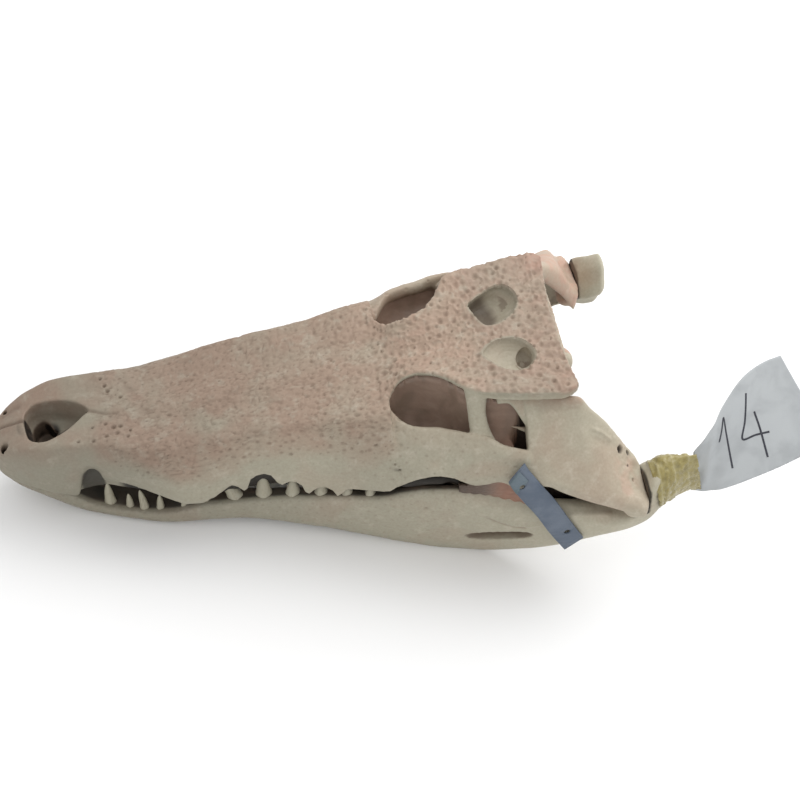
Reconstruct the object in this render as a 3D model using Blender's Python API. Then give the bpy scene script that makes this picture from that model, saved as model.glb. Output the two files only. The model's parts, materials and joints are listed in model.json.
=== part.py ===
"""A crocodile skull, its lower jaw held shut by a blue plastic strip, with a taped paper tag.

The skull is modelled in its own frame, in millimetres: x runs back from the tip of the snout,
y to the right side and z up, with z = 0 at the level of the upper tooth row. At the end it is
pitched nose down until the lower jaw lies level, and set on the floor. The model frame has the
snout towards -X, the left side towards -Y and its origin under the middle of the whole.
"""

import math

import bmesh
import bpy
import numpy as np
from mathutils import Matrix, Vector

# Driving dimensions, in millimetres and degrees
SCALE = 0.001
SNOUT_END = 276.0
PREMAXILLA_END = 88.0
FRONTAL_END = 334.0
TABLE_END = 402.0
JUGAL_END = 366.0
CONDYLE_END = 443.0
DENTARY_END = 300.0
JAW_END = 469.0
JOINT_GAP = 2.4
SEAM = 0.3
REST_PITCH = 6.0
FLOOR_FLAT = 0.9
JOINT_SKEW = (-5.0, 2.5, 4.5)
ROOF_RIM = 6.5
JUGAL_THICKNESS = 10.0
TOOTH_SIDES = 5
STRIP_WIDTH = 17.0
STRIP_THICKNESS = 1.4
TAG_THICKNESS = 0.9
TAG_SAG = 2.4
TAG_BACK = (0.0, 0.83, -0.56)
LINING_THICKNESS = 1.5

# Feature lines of the right half of the cranium, each a few named places (x, y, z)
CREST = [
    (0, 0, 15), (3, 0, 21), (8, 0, 26), (16, 0, 30), (26, 0, 33.5), (48, 0, 35), (70, 0, 37.5),
    (125, 0, 38.5), (150, 0, 41), (190, 0, 46), (225, 0, 51), (262, 0, 57), (276, 0, 59),
    (300, 0, 63), (330, 0, 70.5), (345, 0, 74), (380, 0, 77), (402, 0, 79),
]
SHOULDER = [
    (0, 3, 15.5), (3, 9, 20), (8, 15, 24), (16, 20, 28.5), (26, 24, 32.5), (45, 28, 36.5),
    (60, 29.5, 38), (80, 31.5, 38), (108, 35, 34.5), (130, 38.5, 34.5), (151, 40, 38),
    (190, 41, 44), (225, 44, 49.5), (262, 48, 56), (276, 47, 57.5), (279, 40, 60), (284, 33, 64),
    (292, 27.5, 68.5), (301, 25.5, 70.5), (312, 30, 72.5), (325, 43, 75), (335, 52, 77.5),
    (350, 56, 78.5), (375, 60, 79.5), (402, 64.5, 81),
]
FLANK = [
    (0, 4.5, 12), (3, 12, 14), (8, 18, 15), (16, 23.5, 17), (26, 29, 19), (45, 34.5, 22),
    (60, 34, 23), (80, 38, 20), (108, 48.5, 20), (130, 54, 17), (151, 53.5, 19),
    (190, 49.5, 25), (225, 55, 28), (262, 64, 32), (276, 68, 33), (300, 74, 36),
    (325, 81, 37), (350, 87, 35), (366, 90.5, 33), (378, 93.5, 31), (390, 97, 27),
    (405, 102, 21), (420, 107.5, 16), (432, 112, 12), (443, 116, 9),
]
SIDE = [
    (0, 5, 9), (3, 13, 4), (8, 18.5, 2), (16, 23.5, 1), (26, 29.5, 1), (45, 36, 1),
    (58, 35.5, 2), (63, 34, 11), (68, 33, 17.5), (73, 34, 16), (80, 38, 11), (90, 42.5, 9),
    (104, 49, 9), (120, 56, 4), (135, 59.2, -3), (150, 58, -2), (165, 54.5, 6), (188, 52, 11),
    (211, 57, 9), (238, 63.5, 8), (265, 73, 13), (276, 76, 16), (288, 79, 24), (302, 82, 29.5),
    (315, 84.5, 28), (327, 87, 23), (338, 89, 24.5), (346, 91, 27), (366, 95, 23),
    (378, 98.5, 26), (390, 102, 21), (405, 106.5, 15), (420, 111.5, 10), (432, 115.5, 6),
    (443, 119.5, 4),
]
MARGIN = [
    (0, 4.5, 5), (3, 12, -2), (8, 17.5, -4), (16, 22.5, -6), (26, 28.5, -5), (45, 35, -8),
    (56, 34, -14), (60, 33, -5), (63, 32, 4), (66, 31, 10.5), (70, 31, 11.5), (74, 32.5, 7),
    (76, 34, 0), (82, 38, 3.5), (91, 42.5, 5),
    (101, 47.5, 4), (114, 53, 0), (124, 56, -5), (133, 57.5, -12), (150, 57, -11),
    (164, 53.5, 1), (187, 51.5, 6.5), (211, 56, 3), (238, 62.5, 1), (265, 72, 6), (276, 75.5, 9),
    (284, 77, 15), (293, 79.5, 22), (304, 81.5, 25), (314, 83, 23), (322, 84.5, 18),
    (330, 86, 14.5), (338, 88, 17), (346, 90, 21),
    (358, 93, 16), (366, 94.5, 15), (372, 96, 18.5), (378, 97.5, 19.5), (387, 100, 15),
    (397, 103, 11), (407, 106, 8), (417, 109, 5.5), (427, 112.5, 3), (436, 116, 1), (443, 118, 0),
]
GUM = [
    (0, 2, 5), (8, 9, -2), (20, 15, -4), (45, 23, -6), (60, 20, 0), (68, 19, 2), (80, 25, 2),
    (100, 34, 2), (133, 44, -8), (150, 44, -7), (165, 41, 0), (190, 39.5, 3), (238, 50, -1),
    (265, 59, 5), (276, 62, 7),
]
PALATE = [
    (0, 0, 7), (10, 0, 2), (30, 0, 1), (68, 0, 3), (100, 0, 5), (133, 0, 3), (165, 0, 5),
    (238, 0, 5), (276, 0, 5),
]
TABLE_EDGE = [(335, 52.5, 70), (350, 57, 70.5), (375, 61, 71), (402, 64, 72.5)]
ORBIT_RIM = [
    (276, 51, 51), (280, 53.5, 50), (288, 56.5, 49.3), (298, 59, 49.3), (312, 63, 51),
    (325, 69, 54), (338, 73, 50.5), (350, 77.6, 45.8), (366, 82, 43),
]
QUADRATE_CREST = [
    (366, 54, 65), (385, 54, 66), (402, 58, 66.5), (411, 63, 59), (420, 66, 49), (430, 69, 35),
    (438, 71, 23), (443, 72, 15),
]

# Feature lines of the right half of the lower jaw
JAW_OUTSIDE = [
    (5, 7, -14), (12, 14, -16), (21, 20, -18), (34, 26, -21), (47, 30, -28), (60, 33, -34),
    (75, 36.5, -37.5), (88, 40, -39), (110, 45, -41), (123, 47, -41), (140, 48.5, -39),
    (159, 50, -37), (187, 53, -37), (208, 59, -36), (251, 70, -35), (294, 81, -33),
    (337, 91, -30), (381, 99.5, -28), (409, 107, -22), (436, 115, -13), (450, 113, -9),
    (460, 108, -3), (469, 102, 8),
]
JAW_BOTTOM = [
    (5, 5, -17), (12, 9, -20), (21, 13, -23), (34, 17, -31), (47, 20, -38.5), (60, 23, -44.5),
    (88, 32, -46), (123, 39, -49), (159, 43, -48.5), (208, 52, -54.5), (251, 63, -62),
    (294, 74.5, -69.3), (315, 79, -71.8), (337, 84, -72), (360, 89, -69), (381, 94, -63),
    (409, 101, -48), (425, 104, -37), (436, 105, -31), (450, 103, -26), (460, 99, -22),
    (469, 94, -15),
]
JAW_TOP = [
    (5, 6, -11.5), (20, 18, -11.5), (40, 25, -13), (50, 28, -18), (57, 29.5, -23),
    (66, 31.5, -28), (80, 34.5, -31), (101, 40.5, -33), (118, 43.5, -33), (130, 45, -30),
    (142, 46, -26.5), (153, 47, -26), (170, 48.5, -28), (190, 51, -27), (202, 54, -24),
    (219, 58, -22), (233, 61.5, -19.5), (246, 65, -16.5), (262, 69, -14.5), (272, 72, -9),
    (280, 74, -4.5), (300, 79, 2.5), (320, 84, 5.5), (335, 86.5, 5), (350, 88, 2),
    (381, 92.5, -5), (409, 99, -10), (424, 106, -10), (436, 114, -4), (446, 111, 8),
    (452, 105, 19), (460, 99, 28), (469, 96, 33),
]
JAW_INSIDE = [
    (5, 0.2, -15), (58, 0.2, -32), (104, 0.2, -38), (118, 3, -39), (132, 12, -40),
    (150, 22, -40), (175, 27.5, -41), (208, 35, -43), (251, 48, -45), (294, 61, -46),
    (337, 72.5, -46), (381, 79, -38), (409, 81, -24), (425, 81, -12), (440, 79, -2),
    (456, 76, 4), (469, 77, 10),
]

# Lower teeth: place along the jaw, height over the jaw edge, radius at the neck, lean forwards
LOWER_TEETH = [
    (14, 5, 2.4, 2), (26, 4, 2, 0), (37, 5, 2, 0), (75, 24, 4.0, 0), (88.5, 14, 2.6, 0),
    (100, 21, 3.0, 1), (111, 15, 2.8, -1), (128, 7, 2.4, 0), (144, 8, 2.6, 0),
    (168, 19, 4.6, 7), (185.8, 26, 5.2, 0), (207.2, 20.5, 4.6, 0), (227, 15.5, 4.6, 0),
    (247, 11.5, 4.2, 0), (263, 10, 3.6, 0),
]

# Material colours, roughness and metallic value
BONE_TOP = (0.52, 0.42, 0.33, 1)
BONE_SIDE = (0.47, 0.44, 0.35, 1)
BONE_INNER = (0.30, 0.23, 0.18, 1)
STRIP_BLUE = (0.11, 0.16, 0.25, 1)
TAPE_YELLOW = (0.46, 0.40, 0.14, 1)
TAG_WHITE = (0.72, 0.72, 0.70, 1)


def line(places):
    """A smooth line through places (x, y, z) that never overshoots them, read at any x."""
    table = np.array(places, float)
    x = table[:, 0]
    step = np.diff(x)

    def slopes(values):
        secant = np.diff(values) / step
        inner = np.zeros(len(values))
        same = secant[:-1] * secant[1:] > 0
        wide = 2 * step[1:] + step[:-1]
        near = step[1:] + 2 * step[:-1]
        with np.errstate(divide="ignore", invalid="ignore"):
            mean = (wide + near) / (wide / secant[:-1] + near / secant[1:])
        inner[1:-1] = np.where(same, mean, 0)
        inner[0] = secant[0]
        inner[-1] = secant[-1]
        return inner

    slope = [slopes(table[:, 1]), slopes(table[:, 2])]

    def at(place):
        i = int(np.clip(np.searchsorted(x, place) - 1, 0, len(step) - 1))
        t = float(np.clip((place - x[i]) / step[i], 0, 1))
        blend = (2 * t**3 - 3 * t**2 + 1, t**3 - 2 * t**2 + t, 3 * t**2 - 2 * t**3, t**3 - t**2)
        found = []
        for axis in (0, 1):
            v = table[:, 1 + axis]
            m = slope[axis] * step[i]
            k = (v[i], m[i], v[i + 1], m[i + 1])
            found.append(sum(b * value for b, value in zip(blend, k)))
        return Vector((place, found[0], found[1]))

    return at


crest = line(CREST)
shoulder = line(SHOULDER)
flank = line(FLANK)
side = line(SIDE)
margin = line(MARGIN)
gum = line(GUM)
palate = line(PALATE)
table_edge = line(TABLE_EDGE)
orbit_rim = line(ORBIT_RIM)
quadrate_crest = line(QUADRATE_CREST)
jaw_outside = line(JAW_OUTSIDE)
jaw_bottom = line(JAW_BOTTOM)
jaw_top = line(JAW_TOP)
jaw_inside = line(JAW_INSIDE)


def clear_scene():
    for thing in list(bpy.data.objects):
        bpy.data.objects.remove(thing, do_unlink=True)


def collection(name):
    made = bpy.data.collections.new(name)
    bpy.context.scene.collection.children.link(made)
    return made


def material(name, colour, roughness):
    made = bpy.data.materials.new(name)
    made.use_nodes = True
    shader = made.node_tree.nodes["Principled BSDF"]
    shader.inputs["Base Color"].default_value = colour
    shader.inputs["Roughness"].default_value = roughness
    shader.inputs["Metallic"].default_value = 0.0
    return made


clear_scene()
skull = collection("crocodile_skull")
cutters = collection("cutters")


def solid(name, bm, finish=None):
    """A mesh object from a bmesh, as a piece of the skull, or as a cutter where it has no finish."""
    bmesh.ops.recalc_face_normals(bm, faces=bm.faces)
    mesh = bpy.data.meshes.new(name)
    bm.to_mesh(mesh)
    bm.free()
    made = bpy.data.objects.new(name, mesh)
    if finish is None:
        cutters.objects.link(made)
        made.hide_render = True
        made.display_type = "WIRE"
    else:
        skull.objects.link(made)
        mesh.shade_smooth()
        mesh.materials.append(material(name, *finish))
    return made


def loft(rings):
    """A closed skin over rings of equally many points, with a flat cap at both ends."""
    bm = bmesh.new()
    loops = [[bm.verts.new(point) for point in ring] for ring in rings]
    for one, two in zip(loops, loops[1:]):
        count = len(one)
        for i in range(count):
            j = (i + 1) % count
            bm.faces.new((one[i], one[j], two[j], two[i]))
    bm.faces.new(loops[0])
    bm.faces.new(loops[-1])
    return bm


def whole_ring(half):
    """A ring over both sides from the points of one side, the first and last on the mid-plane."""
    return half + [Vector((p.x, -p.y, p.z)) for p in reversed(half[1:-1])]


def on_side(ring, sign):
    """The ring on its own side; the right jaw joint sits a little further up and forward."""
    placed = []
    for p in ring:
        share = min(1.0, max(0.0, (p.x - 385) / 45))
        skew = Vector(JOINT_SKEW) * (share * share * (3 - 2 * share) if sign > 0 else 0)
        placed.append(Vector((p.x, sign * p.y, p.z)) + skew)
    return placed


def between(a, b, share, lift=0.0):
    mid = a.lerp(b, share)
    return Vector((mid.x, mid.y, mid.z + lift))


def boolean(target, tool, operation, solver="EXACT"):
    made = target.modifiers.new(tool.name, "BOOLEAN")
    made.operation = operation
    made.solver = solver
    made.object = tool


def apply_modifiers(piece):
    """The piece's evaluated mesh in place of its own, so that others can be cut to fit it."""
    graph = bpy.context.evaluated_depsgraph_get()
    mesh = bpy.data.meshes.new_from_object(piece.evaluated_get(graph))
    if len(mesh.polygons) < 4:
        raise ValueError(f"{piece.name}: a cut left nothing of it")
    old = piece.data
    piece.modifiers.clear()
    piece.data = mesh
    bpy.data.meshes.remove(old)


def keep_main_body(piece):
    """Drops the loose chips that a cut can leave beside the main body."""
    bm = bmesh.new()
    bm.from_mesh(piece.data)
    bodies = []
    left = set(bm.verts)
    while left:
        body = set()
        edge = {left.pop()}
        while edge:
            body |= edge
            edge = {e.other_vert(v) for v in edge for e in v.link_edges} - body
        left -= body
        bodies.append(body)
    bodies.sort(key=len)
    for body in bodies[:-1]:
        bmesh.ops.delete(bm, geom=list(body), context="VERTS")
    bm.to_mesh(piece.data)
    bm.free()


def grown_copy(piece, gap):
    """A cutter a little larger than the piece, so that a piece cut by it keeps a seam."""
    bm = bmesh.new()
    bm.from_mesh(piece.data)
    bm.normal_update()
    shifts = [vertex.normal * vertex.calc_shell_factor() * gap for vertex in bm.verts]
    for vertex, shift in zip(bm.verts, shifts):
        vertex.co += shift
    return solid(f"{piece.name}_clearance", bm)


def fit_to(piece, *neighbours, gap=SEAM):
    """Cuts the piece back where it would run into its neighbours.

    A grown copy can cross itself, which only the manifold solver takes.
    """
    for neighbour in neighbours:
        boolean(piece, grown_copy(neighbour, gap), "DIFFERENCE", "MANIFOLD")
    apply_modifiers(piece)
    keep_main_body(piece)


def snout_half(x):
    """Half a cross-section of the snout, from the crest round to the middle of the palate."""
    top = crest(x)
    edge = shoulder(x)
    cheek = flank(x)
    lip = margin(x)
    inner = gum(x)
    vault = palate(x)
    return [
        top,
        between(top, edge, 0.4, 0.15 * (edge.z - top.z)),
        between(top, edge, 0.75, 0.6),
        edge,
        between(edge, cheek, 0.45, 2.4 if x > 4 else 0.5),
        cheek,
        between(cheek, side(x), 0.5, 0.5),
        side(x),
        lip,
        between(lip, inner, 0.35, -1.2 if x > 4 else 0),
        inner,
        vault,
    ]


def stations(start, end, step):
    count = max(2, int(round((end - start) / step)) + 1)
    return [float(v) for v in np.linspace(start, end, count)]


SNOUT_STATIONS = (
    [0.0, 3.0, 8.0, 13.0]
    + stations(20, 50, 10)
    + [56.0, 62.0, 68.0, 72.0, 76.0]
    + stations(84, 267, 10.5)
    + [SNOUT_END]
)


def ellipse_prism(name, centre, radii, depth, taper=1.0, sides=16, tilt=0.0, shear=(0.0, 0.0)):
    """A cutter with an elliptical mouth that runs down and narrows to taper of its width."""
    bm = bmesh.new()
    bmesh.ops.create_cone(
        bm, cap_ends=True, segments=sides, radius1=taper, radius2=1.0, depth=1.0
    )
    for vertex in bm.verts:
        fall = 0.5 - vertex.co.z
        vertex.co.x = vertex.co.x * radii[0] + shear[0] * fall
        vertex.co.y = vertex.co.y * radii[1] + shear[1] * fall
        vertex.co.z *= depth
    turn = Matrix.Translation(centre) @ Matrix.Rotation(math.radians(tilt), 4, "Z")
    bmesh.ops.transform(bm, matrix=turn, verts=bm.verts)
    return solid(name, bm)


def ellipsoid(name, centre, radii, turn=None, sides=12):
    bm = bmesh.new()
    bmesh.ops.create_uvsphere(bm, u_segments=sides, v_segments=sides // 2 + 1, radius=1.0)
    shape = Matrix.Diagonal((*radii, 1.0))
    move = Matrix.Translation(centre) @ (turn or Matrix.Identity(4)) @ shape
    bmesh.ops.transform(bm, matrix=move, verts=bm.verts)
    return solid(name, bm)


def tooth(bm, root, tip, radius):
    """A curved conical tooth from its root to its tip, added to a bmesh."""
    axis = (tip - root).normalized()
    turn = Vector((0, 0, 1)).rotation_difference(axis).to_matrix()
    rows = ((0.0, 1.0), (0.6, 0.76))
    loops = []
    for share, width in rows:
        centre = root.lerp(tip, share)
        loop = []
        for i in range(TOOTH_SIDES):
            angle = 2 * math.pi * i / TOOTH_SIDES
            spoke = Vector((math.cos(angle), math.sin(angle), 0)) * radius * width
            loop.append(bm.verts.new(centre + turn @ spoke))
        loops.append(loop)
    for one, two in zip(loops, loops[1:]):
        for i in range(TOOTH_SIDES):
            j = (i + 1) % TOOTH_SIDES
            bm.faces.new((one[i], one[j], two[j], two[i]))
    point = bm.verts.new(tip)
    for i in range(TOOTH_SIDES):
        j = (i + 1) % TOOTH_SIDES
        bm.faces.new((loops[-1][i], loops[-1][j], point))
    bm.faces.new(loops[0])


def make_snout():
    """The snout as one loft, with its nostril and sockets, parted into premaxillae and maxillae."""
    shapes = {}
    splits = (
        ("premaxillae", 0.0, PREMAXILLA_END - SEAM / 2, 0),
        ("maxilla_left", PREMAXILLA_END + SEAM / 2, SNOUT_END, -1),
        ("maxilla_right", PREMAXILLA_END + SEAM / 2, SNOUT_END, 1),
    )
    naris = ellipse_prism("naris", (48, 0, 31), (22.4, 18.6), 30, 0.62, 16, shear=(-2.0, 0.0))
    incisive = ellipse_prism("incisive_foramen", (37, 0, 8), (9, 7), 40, 1.0, 8)
    pits = [
        ellipse_prism(f"pit_{sign}", (14, sign * 17, 24), (3.2, 3.2), 18, 0.9, 8)
        for sign in (-1, 1)
    ]
    for name, start, end, sign in splits:
        places = [x for x in SNOUT_STATIONS if start < x < end]
        if start == 0.0:
            places = [0.0, *places]
        else:
            places = [start, *places]
        places = [*places, end]
        rings = []
        for x in places:
            half = snout_half(x)
            if sign:
                half[0].y = SEAM / 2
                half[-1].y = SEAM / 2
                rings.append(on_side(half, sign))
            else:
                rings.append(whole_ring(half))
        piece = solid(name, loft(rings), (BONE_TOP, 0.6))
        if name == "premaxillae":
            boolean(piece, naris, "DIFFERENCE")
            boolean(piece, incisive, "DIFFERENCE")
            for pit in pits:
                boolean(piece, pit, "DIFFERENCE")
        else:
            hollow = ellipsoid(
                f"{name}_orbit_hollow", (281.3, sign * 40, 22.7), (26, 22, 25), sides=16
            )
            window = ellipsoid(
                f"{name}_palate_opening", (281, sign * 33, 1.5), (44, 14, 13), sides=16
            )
            boolean(hollow, window, "UNION")
            apply_modifiers(hollow)
            boolean(piece, hollow, "DIFFERENCE")
        apply_modifiers(piece)
        shapes[name] = piece
    return shapes


def frontal_half(x):
    top = crest(x)
    rim = shoulder(x)
    drop = ROOF_RIM
    return [
        top,
        between(top, rim, 0.35),
        between(top, rim, 0.72),
        rim,
        Vector((x, rim.y + 0.3, rim.z - drop * 0.6)),
        Vector((x, rim.y * 0.88, rim.z - drop - 2)),
        Vector((x, rim.y * 0.5, top.z - 9)),
        Vector((x, 0, top.z - 11)),
    ]


def make_frontal():
    places = [SNOUT_END + SEAM, 279, 283, 288, 294, 301, 310, 319, 327, FRONTAL_END]
    rings = [whole_ring(frontal_half(x)) for x in places]
    return solid("frontal", loft(rings), (BONE_TOP, 0.6))


def table_half(x):
    top = crest(x)
    rim = shoulder(x)
    edge = table_edge(x)
    return [
        top,
        between(top, rim, 0.35),
        between(top, rim, 0.72),
        rim,
        between(rim, edge, 0.5) + Vector((0, 0.6, 0)),
        edge,
        edge + Vector((0, -8, -2)),
        Vector((x, edge.y * 0.5, top.z - 13)),
        Vector((x, 0, top.z - 14)),
    ]


def make_table():
    """The flat skull table, with its bowed rear edge and the two upper temporal openings."""
    rings = []
    for x in stations(FRONTAL_END + SEAM, TABLE_END, 9):
        ring = whole_ring(table_half(x))
        pull = max(0.0, (x - 384) / 18) ** 2
        for point in ring:
            point.x -= 5.0 * pull * (1 - (point.y / 66) ** 2)
        rings.append(ring)
    piece = solid("skull_table", loft(rings), (BONE_TOP, 0.6))
    for sign in (-1, 1):
        opening = ellipse_prism(
            f"upper_opening_{sign}", (359, sign * 23.5, 66), (21, 14.8), 32, 0.6,
            shear=(3.0, sign * 2.0),
        )
        boolean(piece, opening, "DIFFERENCE")
    apply_modifiers(piece)
    return piece


def jugal_ring(x):
    rim = orbit_rim(x)
    cheek = flank(x)
    wide = side(x)
    lip = margin(x)
    thick = JUGAL_THICKNESS
    return [
        rim,
        between(rim, cheek, 0.5, 1.5) + Vector((0, 1.0, 0)),
        cheek,
        wide,
        lip,
        lip + Vector((0, -thick * 0.55, 0.5)),
        wide + Vector((0, -thick, 3)),
        cheek + Vector((0, -thick * 1.1, -1)),
        rim + Vector((0, -3.5, -5.5)),
    ]


def make_jugals():
    made = {}
    places = [SNOUT_END + SEAM, 280, 286, 295, 305, 314, 321, 327, 333, 340, 349, 357, JUGAL_END]
    for label, sign in (("left", -1), ("right", 1)):
        rings = [on_side(jugal_ring(x), sign) for x in places]
        made[label] = solid(f"jugal_{label}", loft(rings), (BONE_SIDE, 0.6))
    return made


def quadrate_ring(x):
    """From the crest under the skull table down the outside to the cheek margin and back inside."""
    top = quadrate_crest(x)
    cheek = flank(x)
    wide = side(x)
    lip = margin(x)
    ease = (x - JUGAL_END) / (CONDYLE_END - JUGAL_END)
    thick = 8.0 + 9.0 * ease
    inward = Vector((0, -0.62, -0.78)) * thick
    return [
        top,
        between(top, cheek, 0.3, 3.0 - 5.0 * ease),
        between(top, cheek, 0.65, 2.5 - 4.0 * ease),
        cheek,
        wide,
        lip,
        lip + Vector((0, -thick * 0.6, -0.5 * ease)),
        cheek + Vector((0, -thick * 0.9, -thick * 0.75)),
        between(top, cheek, 0.5) + inward,
        top + Vector((0, -thick * 0.25, -thick)),
    ]


def make_quadrates():
    made = {}
    places = [JUGAL_END + SEAM, 374, 384, 394, 403, 411, 420, 429, 437, CONDYLE_END]
    for label, sign in (("left", -1), ("right", 1)):
        rings = [on_side(quadrate_ring(x), sign) for x in places]
        last = rings[-1]
        centre = sum(last, Vector()) / len(last)
        end = []
        for point in last:
            inner = centre + (point - centre) * 0.82
            inner.x = CONDYLE_END + 3.0
            end.append(inner)
        rings.append(end)
        piece = solid(f"quadrate_{label}", loft(rings), (BONE_SIDE, 0.55))
        rounds = (("outer", 108, 3, 9.5), ("inner", 77, 8, 9.0))
        for knob, y, z, radius in rounds:
            centre = on_side([Vector((438.5, y, z))], sign)[0]
            ball = ellipsoid(
                f"condyle_{knob}_{label}", centre, (radius, radius * 1.1, radius), sides=8
            )
            boolean(piece, ball, "UNION")
        apply_modifiers(piece)
        made[label] = piece
    return made


def make_braincase(frontal, table, quadrates):
    """The box for the brain under the roof, with the occiput, its condyle and the base plate."""
    sections = (
        (318, 9, 56, 5, 50, 3, 45, 43), (337, 10, 62, 36, 44, 10, 37, 33),
        (352, 10, 63, 50, 42, 14, 29, 22), (368, 11, 64, 49, 50, 17, 19, 6),
        (382, 26, 66, 50, 52, 18, 11, -8), (396, 52, 67, 42, 48, 15, 10, -4),
        (403, 54, 64, 34, 48, 13, 16, 8),
    )
    rings = []
    for x, roof_y, roof_z, wall_y, wall_z, base_y, base_z, keel_z in sections:
        half = [
            Vector((x, 0, roof_z + 1)),
            Vector((x, roof_y * 0.6, roof_z + 0.5)),
            Vector((x, roof_y, roof_z - 3)),
            Vector((x, (roof_y + wall_y) / 2, (roof_z + wall_z) / 2 - 2)),
            Vector((x, wall_y, wall_z)),
            Vector((x, base_y, base_z)),
            Vector((x, base_y * 0.6, keel_z)),
            Vector((x, 0, keel_z - 1)),
        ]
        rings.append(whole_ring(half))
    piece = solid("braincase", loft(rings), (BONE_SIDE, 0.65))
    ball = ellipsoid("occipital_condyle", (405, 0, 34), (11, 11, 9.5))
    canal = ellipse_prism("foramen_magnum", (0, 0, 0), (8.5, 6.5), 24, 0.8, 14)
    canal.data.transform(Matrix.Translation((400, 0, 50)) @ Matrix.Rotation(math.pi / 2, 4, "Y"))
    boolean(piece, ball, "UNION")
    boolean(piece, canal, "DIFFERENCE")
    fit_to(piece, frontal, table, *quadrates.values())
    return piece


PALATE_SECTIONS = (
    # x, half-width, height of the middle, height of the edge, thickness
    (276.3, 15.0, 11.0, 9.0, 9.0), (300, 13.5, 9.5, 8.0, 9.0),
    (316, 16.0, 7.0, 5.0, 8.5), (325, 25.0, 5.0, 0.0, 8.0), (333, 44.0, 3.5, -9.0, 7.5),
    (340, 57.0, 3.0, -18.0, 7.0), (348, 63.5, 3.0, -25.0, 7.0), (356, 64.5, 3.0, -30.0, 7.0),
    (363, 58.0, 3.0, -27.0, 7.5), (369, 42.0, 3.0, -15.0, 8.5), (376, 29.0, 2.0, -7.0, 9.0),
    (386, 21.0, 0.0, -4.0, 10.0),
)


def make_palate(braincase):
    """The palatines in front and the two wings of the pterygoids behind, as one floor."""
    rings = []
    for x, half_width, middle, edge, thick in PALATE_SECTIONS:
        half = []
        for share in (0.0, 0.35, 0.7, 1.0):
            fall = share**1.6
            half.append(Vector((x, half_width * share, middle + (edge - middle) * fall)))
        for share in (1.0, 0.7, 0.35, 0.0):
            fall = share**1.6
            low = middle + (edge - middle) * fall - thick * (1 - 0.25 * share)
            half.append(Vector((x, half_width * share * 0.97, low)))
        rings.append(whole_ring(half))
    piece = solid("palate", loft(rings), (BONE_INNER, 0.7))
    choana = ellipsoid("choana", (374, 0, -8), (9, 8, 7), sides=10)
    boolean(piece, choana, "DIFFERENCE")
    fit_to(piece, braincase, gap=2 * SEAM)
    return piece


def tube(name, path, finish, sides=8):
    """A bar through places, each with its centre and its half-widths along x and across."""
    centres = [Vector(place[:3]) for place in path]
    rings = []
    for i, (centre, place) in enumerate(zip(centres, path)):
        ahead = centres[min(i + 1, len(path) - 1)] - centres[max(i - 1, 0)]
        ahead.normalize()
        across = ahead.cross(Vector((1, 0, 0))).normalized()
        along = across.cross(ahead).normalized()
        ring = []
        for k in range(sides):
            angle = 2 * math.pi * k / sides
            ring.append(
                centre
                + along * (math.cos(angle) * place[3])
                + across * (math.sin(angle) * place[4])
            )
        rings.append(ring)
    return solid(name, loft(rings), finish)


POSTORBITAL_PATH = (
    (335, 46, 74, 9, 5.5), (334, 50, 68, 7, 4.6), (333.5, 55, 60, 5.4, 4.2),
    (334, 61, 52, 5.4, 4.2), (336, 67, 44, 6.6, 4.6), (338, 74, 36, 9, 5.0),
)
ECTOPTERYGOID_PATH = (
    (281, 66.5, 4, 6, 4.5), (296, 69, 8, 6, 5), (310, 73, 12, 6.5, 6), (322, 73.5, 8, 7.5, 6),
    (333, 69, -3, 7.5, 5.5), (343, 65, -14, 7, 4.5), (350, 62.5, -24, 6, 3.6),
)


def make_lining(label, sign):
    """The dried brown lining of an eye socket, a thin sheet between the cheek and the palate."""
    rings = []
    for x in (278, 287, 297, 307, 317, 326, 333):
        edge = margin(x) + Vector((0, -4, 4))
        upper = []
        for share in (0.0, 0.3, 0.65, 1.0):
            y = 11 + (edge.y - 11) * share
            z = 8 + (edge.z - 8) * share**2 - 2 * math.sin(math.pi * share)
            upper.append(Vector((x, sign * y, z)))
        lower = [point + Vector((0, 0, -LINING_THICKNESS)) for point in reversed(upper)]
        rings.append(upper + lower)
    return solid(f"socket_lining_{label}", loft(rings), (BONE_INNER, 0.8))


def mirrored(path, sign):
    return [(x, sign * y, z, a, b) for x, y, z, a, b in path]


def make_side_bars(frontal, table, jugals, palate_piece, maxillae):
    """The bars behind the eyes and the struts from the cheeks down to the palate's wings."""
    struts = {}
    for label, sign in (("left", -1), ("right", 1)):
        bar = tube(f"postorbital_bar_{label}", mirrored(POSTORBITAL_PATH, sign), (BONE_SIDE, 0.6))
        fit_to(bar, frontal, table, jugals[label])
        strut = tube(
            f"ectopterygoid_{label}", mirrored(ECTOPTERYGOID_PATH, sign), (BONE_INNER, 0.7)
        )
        fit_to(strut, jugals[label], palate_piece, maxillae[label])
        lining = make_lining(label, sign)
        fit_to(lining, jugals[label], palate_piece, maxillae[label])
        fit_to(lining, strut, gap=2 * SEAM)
        struts[label] = strut
    return struts


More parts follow.
